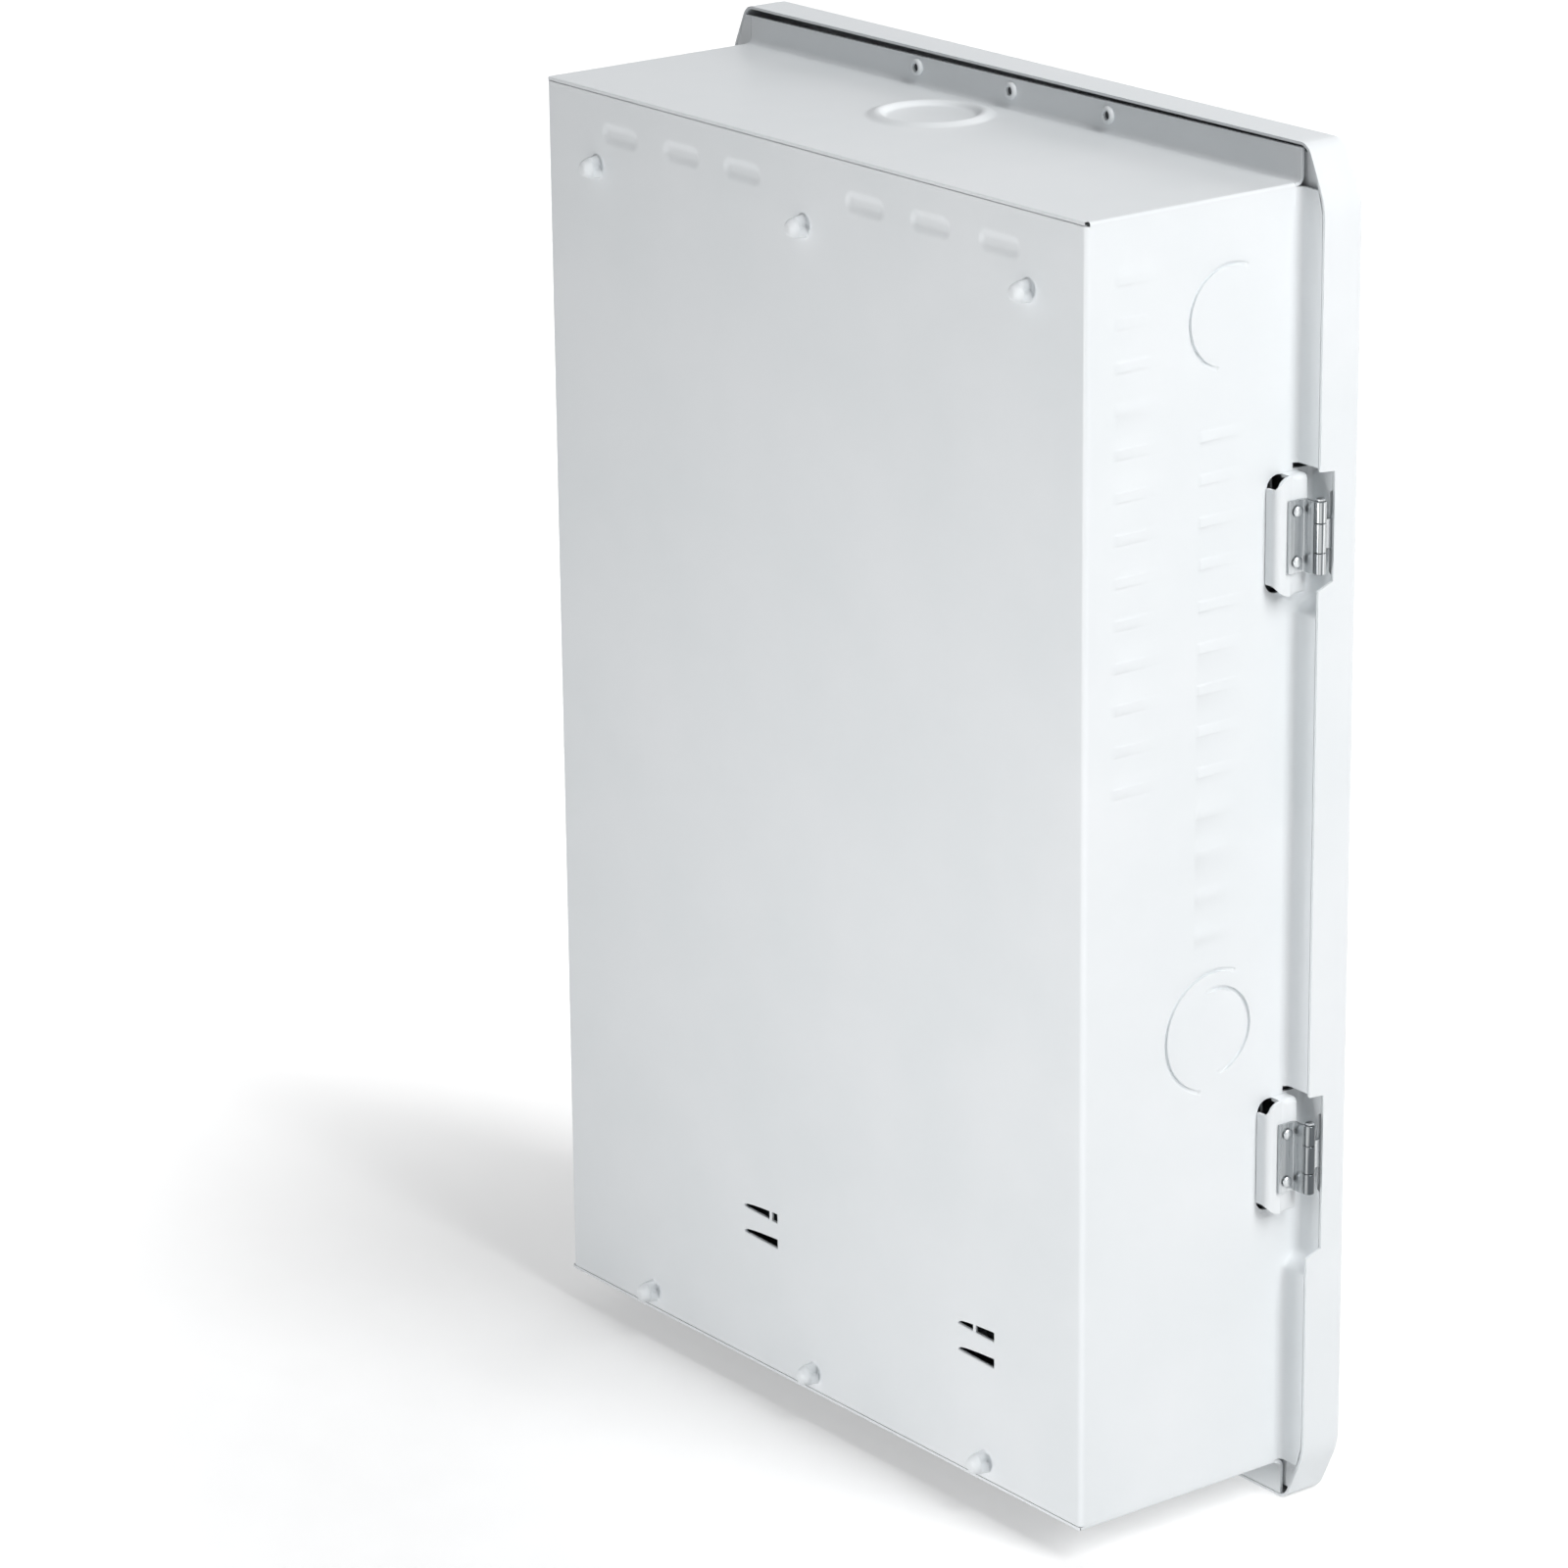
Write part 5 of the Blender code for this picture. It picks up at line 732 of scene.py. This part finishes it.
# Door
door_steps = [HINGE_Z[name] + NOTCH_ABOVE + np.array((-0.35, -0.1, 0.1, 0.35)) for name in HINGE_Z]
door_steps += [HINGE_Z[name] - NOTCH_BELOW[name] + np.linspace(0, NOTCH_SLANT, 7) for name in HINGE_Z]
DOOR_ROWS_X = np.linspace(-DOOR_GRID[0], DOOR_GRID[0], 19)
DOOR_ROWS_Z = lines(np.linspace(-DOOR_GRID[1], DOOR_GRID[1], 30), *door_steps)


def door_outline():
    """Points round the door from its lower right corner anticlockwise, and what an inset of one moves
    each by."""
    corner, shift = door_corner()
    right = np.stack([np.full_like(DOOR_ROWS_Z, DOOR_HALF[0]), DOOR_ROWS_Z], -1)
    top = np.stack([DOOR_ROWS_X[::-1], np.full_like(DOOR_ROWS_X, DOOR_HALF[1])], -1)
    walls = ((right, (1.0, 0)), (top, (0, 1.0)), (right[::-1] * (-1, 1), (-1.0, 0)),
             (top[::-1] * (1, -1), (0, -1.0)))
    runs = []
    for (across, up), (wall, normal) in zip(((1, -1), (1, 1), (-1, 1), (-1, -1)), walls):
        way = across * up
        runs.append(((corner * (across, up))[::way], (shift * (across, up))[::way]))
        runs.append((wall, np.broadcast_to(normal, wall.shape)))
    return tuple(np.concatenate([run[k] for run in runs]) for k in (0, 1))


def door_rear(outline):
    """Depth of the door's rear edge round its outline: set forward in the two hinge notches."""
    rear = np.full(len(outline), DOOR_REAR)
    for name in ("upper", "lower"):
        ends = HINGE_Z[name] - NOTCH_BELOW[name], HINGE_Z[name] + NOTCH_ABOVE
        deep = np.minimum(np.clip((outline[:, 1] - ends[0]) / NOTCH_SLANT, 0, 1),
                          np.clip((ends[1] - outline[:, 1]) / NOTCH_STEP + 0.5, 0, 1))
        rear = rear + np.where(outline[:, 0] < NOTCH_NEAR - DOOR_HALF[0], NOTCH_DEPTH * deep, 0)
    return rear


def door_face(inset, depth):
    """Flat face as columns between the lower and the upper half of the door's outline."""
    corner, shift = door_corner()
    x, z = (corner - shift * inset)[::-1].T
    columns = np.concatenate([-x[::-1], DOOR_ROWS_X, x])
    top = np.concatenate([z[::-1], np.full(len(DOOR_ROWS_X), DOOR_HALF[1] - inset), z])
    share = np.concatenate([[-1], DOOR_ROWS_Z / z[-1], [1]])
    return lattice(points_at(columns[:, None], depth, top[:, None] * share[None]))


def door_pan():
    """Door as a drawn pan: its outline carried round a section of straight wall and rolled front edge, a flat
    face, and the same set back by the sheet inside."""
    outline, shift = door_outline()
    rear = door_rear(outline)
    turn = np.linspace(0, math.pi / 2, 8)
    shells = []
    for inset, radius, way in ((0.0, DOOR_EDGE, 1), (DOOR_SHEET, DOOR_EDGE - DOOR_SHEET, -1)):
        knee = DOOR_FRONT - DOOR_EDGE
        inwards = inset + np.concatenate([[0, 0, 0], radius - radius * np.cos(turn)])
        flat = outline[:, None] - shift[:, None] * inwards[None, :, None]
        ahead = np.concatenate([[knee - MARGIN], knee + radius * np.sin(turn)])
        depth = np.concatenate([np.stack([rear, rear + DOOR_LIP], -1), np.tile(ahead, (len(rear), 1))], 1)
        wall = lattice(points_at(flat[..., 0], depth, flat[..., 1]), around=True)
        lean = np.einsum("ij,ij->i", face_normals(wall)[:, [0, 2]], wall[0][wall[1]].mean(1)[:, [0, 2]]).sum()
        shells.append(wall if lean * way > 0 else (wall[0], wall[1][:, ::-1]))
        shells.append(facing(door_face(inset + radius, knee + radius), (0, -way, 0)))
    rims = [points_at(flat[:, 0], rear, flat[:, 1]) for flat in (outline, outline - shift * DOOR_SHEET)]
    shells.append(facing(lattice(np.stack(rims, 1), around=True), (0, 1, 0)))
    return joined(*shells)


piece("door_pan_formed", door_pan(), white, "door", ("door_pan",), sharp=50)


# Hinges and small hardware
def bent_strip(path, half_height, z, sheet, bends):
    """Strip bent along a path of (out, depth) corners with rounded bends; half_height gives its height
    along it."""
    path = np.array(path, float)
    run = []
    for k in range(len(path)):
        if 0 < k < len(path) - 1 and bends[k] > 0:
            before, after = (path[k] - path[k - 1]), (path[k + 1] - path[k])
            before, after = before / np.linalg.norm(before), after / np.linalg.norm(after)
            t = np.linspace(0, 1, 7)[:, None]
            first, last = path[k] - before * bends[k], path[k] + after * bends[k]
            run.append((1 - t) ** 2 * first + 2 * t * (1 - t) * path[k] + t ** 2 * last)
        else:
            run.append(path[k][None])
    run = np.concatenate(run)
    length = np.concatenate([[0], np.cumsum(np.hypot(*np.diff(run, axis=0).T))])
    fine = lines(length, np.linspace(0, length[-1], 24))
    run = np.stack([np.interp(fine, length, run[:, k]) for k in (0, 1)], -1)
    tangent = np.gradient(run, fine, axis=0)
    tangent /= np.linalg.norm(tangent, axis=1, keepdims=True)
    normal = np.stack([tangent[:, 1], -tangent[:, 0]], -1)
    middle = run + normal * sheet / 2
    half = half_height(run)
    share = np.linspace(-1, 1, 13)
    points = points_at(-HALF_WIDTH - middle[:, None, 0], middle[:, None, 1],
                       z + half[:, None] * share[None])
    normals = np.stack([-normal[:, 0], -normal[:, 1], np.zeros(len(run))], -1)[:, None]
    return plate(points, normals, sheet)


def pad_height(run):
    """Half height of the hinge pad: full along its plate, with the two rear corners rounded off."""
    into = np.clip(run[:, 1] - PAD_REAR - PAD_CORNER_GAP, 0, PAD_CORNER)
    return PAD_HALF - PAD_CORNER + np.sqrt(np.clip(PAD_CORNER ** 2 - (PAD_CORNER - into) ** 2, 0, None))


def hinge_pad(z):
    """Raised pad under a hinge: a plate with a return behind it, a section with rolled and closed ends
    beside the hinge, and a return in front; its two rear corners stay open."""
    behind, top = PAD_REAR + SHEET / 2, PAD_TOP - SHEET / 2
    path = ((PAD_FOOT, behind), (top, behind), (top, PAD_CLOSED))
    rear = bent_strip(path, pad_height, z, SHEET, (0, PAD_BEND, 0))
    depth = np.linspace(PAD_CLOSED, PAD_FRONT, 8)[None]
    roll = np.interp(depth, (PAD_CLOSED, PAD_CLOSED + PAD_ROLL_RUN), PAD_ROLL)
    turn = np.linspace(0, math.pi / 2, 7)
    swing = np.concatenate([[0], turn, math.pi - turn[::-1], [math.pi]])[:, None]
    foot = np.concatenate([[1], np.zeros(2 * len(turn)), [1]])[:, None]
    out = (PAD_TOP - roll + roll * np.sin(swing)) * (1 - foot) + PAD_FOOT * foot
    height = np.sign(np.cos(swing)) * (PAD_HALF - roll) + roll * np.cos(swing)
    normals = np.stack(np.broadcast_arrays(-np.sin(swing), 0 * swing, np.cos(swing)), -1)
    hat = plate(points_at(-(HALF_WIDTH + out), depth, z + height), normals, SHEET)
    rows = np.linspace(-1, 1, 7) * (PAD_HALF - SHEET)
    out, height = np.meshgrid((PAD_FOOT, PAD_FRONT_TOP), rows, indexing="ij")
    front = plate(points_at(-(HALF_WIDTH + out), PAD_FRONT, z + height), FORWARDS, SHEET)
    return joined(rear, hat, front)


def leaf_height(run):
    """Half height of a box leaf, the same all along it."""
    return np.full(len(run), LEAF_HALF)


def tongue_height(run):
    """Half height of a door leaf: a narrow tongue at the knuckle, and full beyond its shoulder."""
    return np.interp(run[:, 1], TONGUE_SHOULDER, (TONGUE_HALF, LEAF_HALF))


def barrel(z_low, z_high, z):
    """Rolled knuckle: a short cylinder with softened ends."""
    face = KNUCKLE_RADIUS - KNUCKLE_EDGE
    return turned((-(HALF_WIDTH + AXIS_OUT), BACK_Y - AXIS_DEPTH, z), (0, 0, 1),
                  ((KNUCKLE_BORE, z_low), (face, z_low), (KNUCKLE_RADIUS, z_low + KNUCKLE_EDGE),
                   (KNUCKLE_RADIUS, z_high - KNUCKLE_EDGE), (face, z_high), (KNUCKLE_BORE, z_high)), 32)


def headed_pin(low, high):
    """Hinge pin between two corners of its box: a shank with a softened end, and a round head on top."""
    middle = (low + high) / 2
    foot, top = low[2], high[2]
    profile = ((0, foot), (PIN_SHANK - 0.15, foot), (PIN_SHANK, foot + 0.2), (PIN_SHANK, top - 1.05),
               (PIN_HEAD - 0.2, top - 1.0), (PIN_HEAD, top - 0.8), (PIN_HEAD, top - 0.35),
               (PIN_HEAD - 0.4, top - 0.05), (0, top))
    return turned((middle[0], middle[1], 0), (0, 0, 1), profile, 28)


def domed_head(centre, axis, radius, height):
    """Domed rivet head: a quarter-ellipse profile over a rim that stands a little off the leaf."""
    turn = np.linspace(0, math.pi / 2, 8)
    dome = [(radius * math.cos(t), height * (0.25 + 0.75 * math.sin(t))) for t in turn]
    return turned(centre, axis, [(radius * 0.75, -0.4), (radius * 0.75, 0.2)] + dome, 28)


zinc = FINISHES["zinc_steel"]
# The knuckles are rolled round the pin. The dark and bright lines along them are painted reflections of the
# dark and bright things round the hinge.
knuckle = rolled_metal("zinc_knuckle_painted_reflections", ((0.42, "#4E5255"), (0.60, "#D6D9DA")),
                       (1.786, 1.786, 250.0), (0.18, 0.32), 0.03)
# The mandrels snap off when the rivets are set, which leaves dull, grainy ends; their near-black tone is
# painted shade of the hole in each rivet.
mandrel = rolled_metal("steel_mandrel_painted_hole_shade", ((0.25, "#3A3B3D"), (0.75, "#56585A")), (1.429, 1.429, 1.429),
                       (0.45, 0.62), 0.04)
for name, z in HINGE_Z.items():
    piece(name + "_hinge_bracket_formed", hinge_pad(z), white, "enclosure",
          (name + "_hinge_bracket",))

    leaf = bent_strip(BOX_LEAF_PATH, leaf_height, z, LEAF_SHEET, (0, LEAF_BEND, 0))
    piece(name + "_box_leaf_bent", leaf, zinc, "enclosure", (name + "_box_leaf",))
    rolls = joined(barrel(KNUCKLE_INNER, LEAF_HALF, z), barrel(-LEAF_HALF, -KNUCKLE_INNER, z))
    piece(name + "_box_knuckles_rolled", rolls, knuckle, "enclosure")

    tongue = bent_strip(DOOR_LEAF_PATH, tongue_height, z, LEAF_SHEET, (0, 0))
    piece(name + "_door_leaf_bent", tongue, zinc, "door", (name + "_door_leaf",))
    piece(name + "_door_knuckle_rolled", barrel(-TONGUE_HALF, TONGUE_HALF, z), knuckle, "door")

    pin = headed_pin(*(np.array(corner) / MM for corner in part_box(name + "_hinge_pin")))
    piece(name + "_hinge_pin_headed", pin, zinc, "enclosure", (name + "_hinge_pin",))
    for end, way in (("top", 1), ("bottom", -1)):
        seat = (-(HALF_WIDTH + RIVET_OUT), BACK_Y - RIVET_DEPTH, z + way * RIVET_SHIFT)
        head = domed_head(seat, (-1, 0, 0), RIVET_RADIUS, RIVET_HEIGHT)
        piece(f"{name}_hinge_rivet_{end}_domed", head, zinc, "enclosure",
              (f"{name}_hinge_rivet_{end}",))

# Profiles of a blind rivet's head and of the mandrel left in it: radius and height.
BLIND_HEAD = ((3.0, 0), (3.7, 0.05), (3.85, 0.7), (3.65, 1.4), (3.2, 1.85), (2.6, 2.0), (2.1, 1.85),
              (1.85, 1.4), (1.75, 0.1), (0, 0.1))
MANDREL = ((1.7, 0.15), (1.7, 0.55), (1.2, 0.75), (0, 0.7))
for k, x in enumerate(DRIP_RIVET_X):
    node = min((f"drip_rail_rivet_{n}" for n in (1, 2, 3)),
               key=lambda n: abs(sum(c[0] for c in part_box(n)) / 2 / MM - x))
    seat = (x, BACK_Y - DRIP_RIVET_DEPTH, DRIP_RIVET_Z)
    head = turned(seat, BACKWARDS, BLIND_HEAD, 28)
    piece(f"drip_rail_rivet_{k + 1}_blind", head, white, "enclosure", (node,))
    # Each mandrel's dark finish is painted shade of the hole it sits in.
    stub = turned(seat, BACKWARDS, MANDREL, 24)
    piece(f"drip_rail_rivet_{k + 1}_mandrel", stub, mandrel, "enclosure")


# Floor, light and camera
def seen_ray(tree):
    """One for a ray from the camera, from a mirror or through glass, and nothing for any other."""
    path = add(tree, "LightPath")
    seen = add(tree, "Math", {0: path.outputs["Is Camera Ray"], 1: path.outputs["Is Transmission Ray"]},
               operation="MAXIMUM")
    either = add(tree, "Math", {0: seen.outputs[0], 1: path.outputs["Is Glossy Ray"]}, operation="MAXIMUM")
    return either.outputs[0]


def studio_floor():
    """Pale floor at the object's foot. To the camera it glows, weakly near the box and strongly further off:
    painted shade darkens the floor round the box, and painted light washes its shadow out beyond.
    """
    material, tree, shader, where = start("studio_floor")
    shader.inputs["Roughness"].default_value = 0.9
    shader.inputs["Specular IOR Level"].default_value = 0.0
    paper = add(tree, "TexNoise", {"Vector": where, "Scale": per_metre(25), "Detail": 2.0})
    tone = add(tree, "ValToRGB", {"Fac": paper.outputs["Fac"]}, ((0.3, "#E6E6E6"), (0.7, "#E9E9E9")))
    tree.links.new(tone.outputs["Color"], shader.inputs["Base Color"])
    # Painted shade and light: the glow grows with distance from the box.
    away = add(tree, "VectorMath", {0: where}, operation="LENGTH")
    level = add(tree, "MapRange", {"Value": away.outputs["Value"], "From Min": PAINTED_GLOW_RUN[0],
                                   "From Max": PAINTED_GLOW_RUN[1], "To Min": PAINTED_GLOW[0], "To Max": PAINTED_GLOW[1]},
                interpolation_type="SMOOTHSTEP")
    painted_glow = add(tree, "Math", {0: seen_ray(tree), 1: level.outputs["Result"]}, operation="MULTIPLY")
    shader.inputs["Emission Color"].default_value = linear("#FFFFFF")
    tree.links.new(painted_glow.outputs[0], shader.inputs["Emission Strength"])
    mesh = bpy.data.meshes.new("studio_floor")
    z = cad_box[0][2]
    turns = ((-1, -1), (1, -1), (1, 1), (-1, 1))
    corners = [(across * FLOOR_HALF, along * FLOOR_HALF, z) for across, along in turns]
    mesh.from_pydata(corners, [], [(0, 1, 2, 3)])
    mesh.materials.append(material)
    floor = bpy.data.objects.new("studio_floor", mesh)
    scene.collection.objects.link(floor)


def studio_world(ambient):
    """White to the camera, to mirrors and to glass; a plain even light to everything else."""
    world = bpy.data.worlds.new("studio")
    world.use_nodes = True
    tree = world.node_tree
    tree.nodes.clear()
    level = add(tree, "MapRange", {"Value": seen_ray(tree), "To Min": ambient, "To Max": 1.0})
    sky = add(tree, "Background", {"Color": linear("#FCFDFF"), "Strength": level.outputs["Result"]})
    add(tree, "OutputWorld", {"Surface": sky.outputs[0]})
    scene.world = world


def soft_box(name, place, target, size, power, spread=180):
    """Soft box of the given width and height at place, turned towards target, with its spread in degrees."""
    lamp = bpy.data.lights.new(name, "AREA")
    lamp.shape, lamp.size, lamp.size_y, lamp.energy = "RECTANGLE", *size, power
    lamp.spread = math.radians(spread)
    obj = bpy.data.objects.new(name, lamp)
    scene.collection.objects.link(obj)
    obj.location = place
    obj.rotation_euler = (Vector(target) - Vector(place)).to_track_quat("-Z", "Y").to_euler()


def photo_camera():
    """Long lens behind and above the box, turned a little about its own axis."""
    azimuth, elevation, roll = (math.radians(a) for a in (AZIMUTH, ELEVATION, ROLL))
    back = np.array((math.sin(azimuth) * math.cos(elevation), -math.cos(azimuth) * math.cos(elevation),
                     math.sin(elevation)))
    right = np.cross((0, 0, 1), back)
    right /= np.linalg.norm(right)
    up = np.cross(back, right)
    right, up = (math.cos(roll) * right + math.sin(roll) * up, -math.sin(roll) * right + math.cos(roll) * up)
    data = bpy.data.cameras.new("photo_camera")
    data.sensor_width, data.lens, data.clip_end = SENSOR, LENS, CLIP_END
    obj = bpy.data.objects.new("photo_camera", data)
    scene.collection.objects.link(obj)
    matrix = Matrix.Identity(4)
    for k, column in enumerate((right, up, back, CAMERA_PLACE)):
        matrix.col[k][:3] = column
    obj.matrix_world = matrix
    scene.camera = obj


studio_floor()
studio_world(0.17)
soft_box("key_light", (-2.8, -0.3, 2.4), BOX_MIDDLE, (1.4, 3.0), 110)
soft_box("rear_fill", (0.0, 1.5, -0.13), (-0.5, 0, -0.1), (0.2, 0.2), 3.6, spread=100)
soft_box("front_fill", (1.0, -3.2, 1.4), BOX_MIDDLE, (2.4, 2.4), 30)
photo_camera()
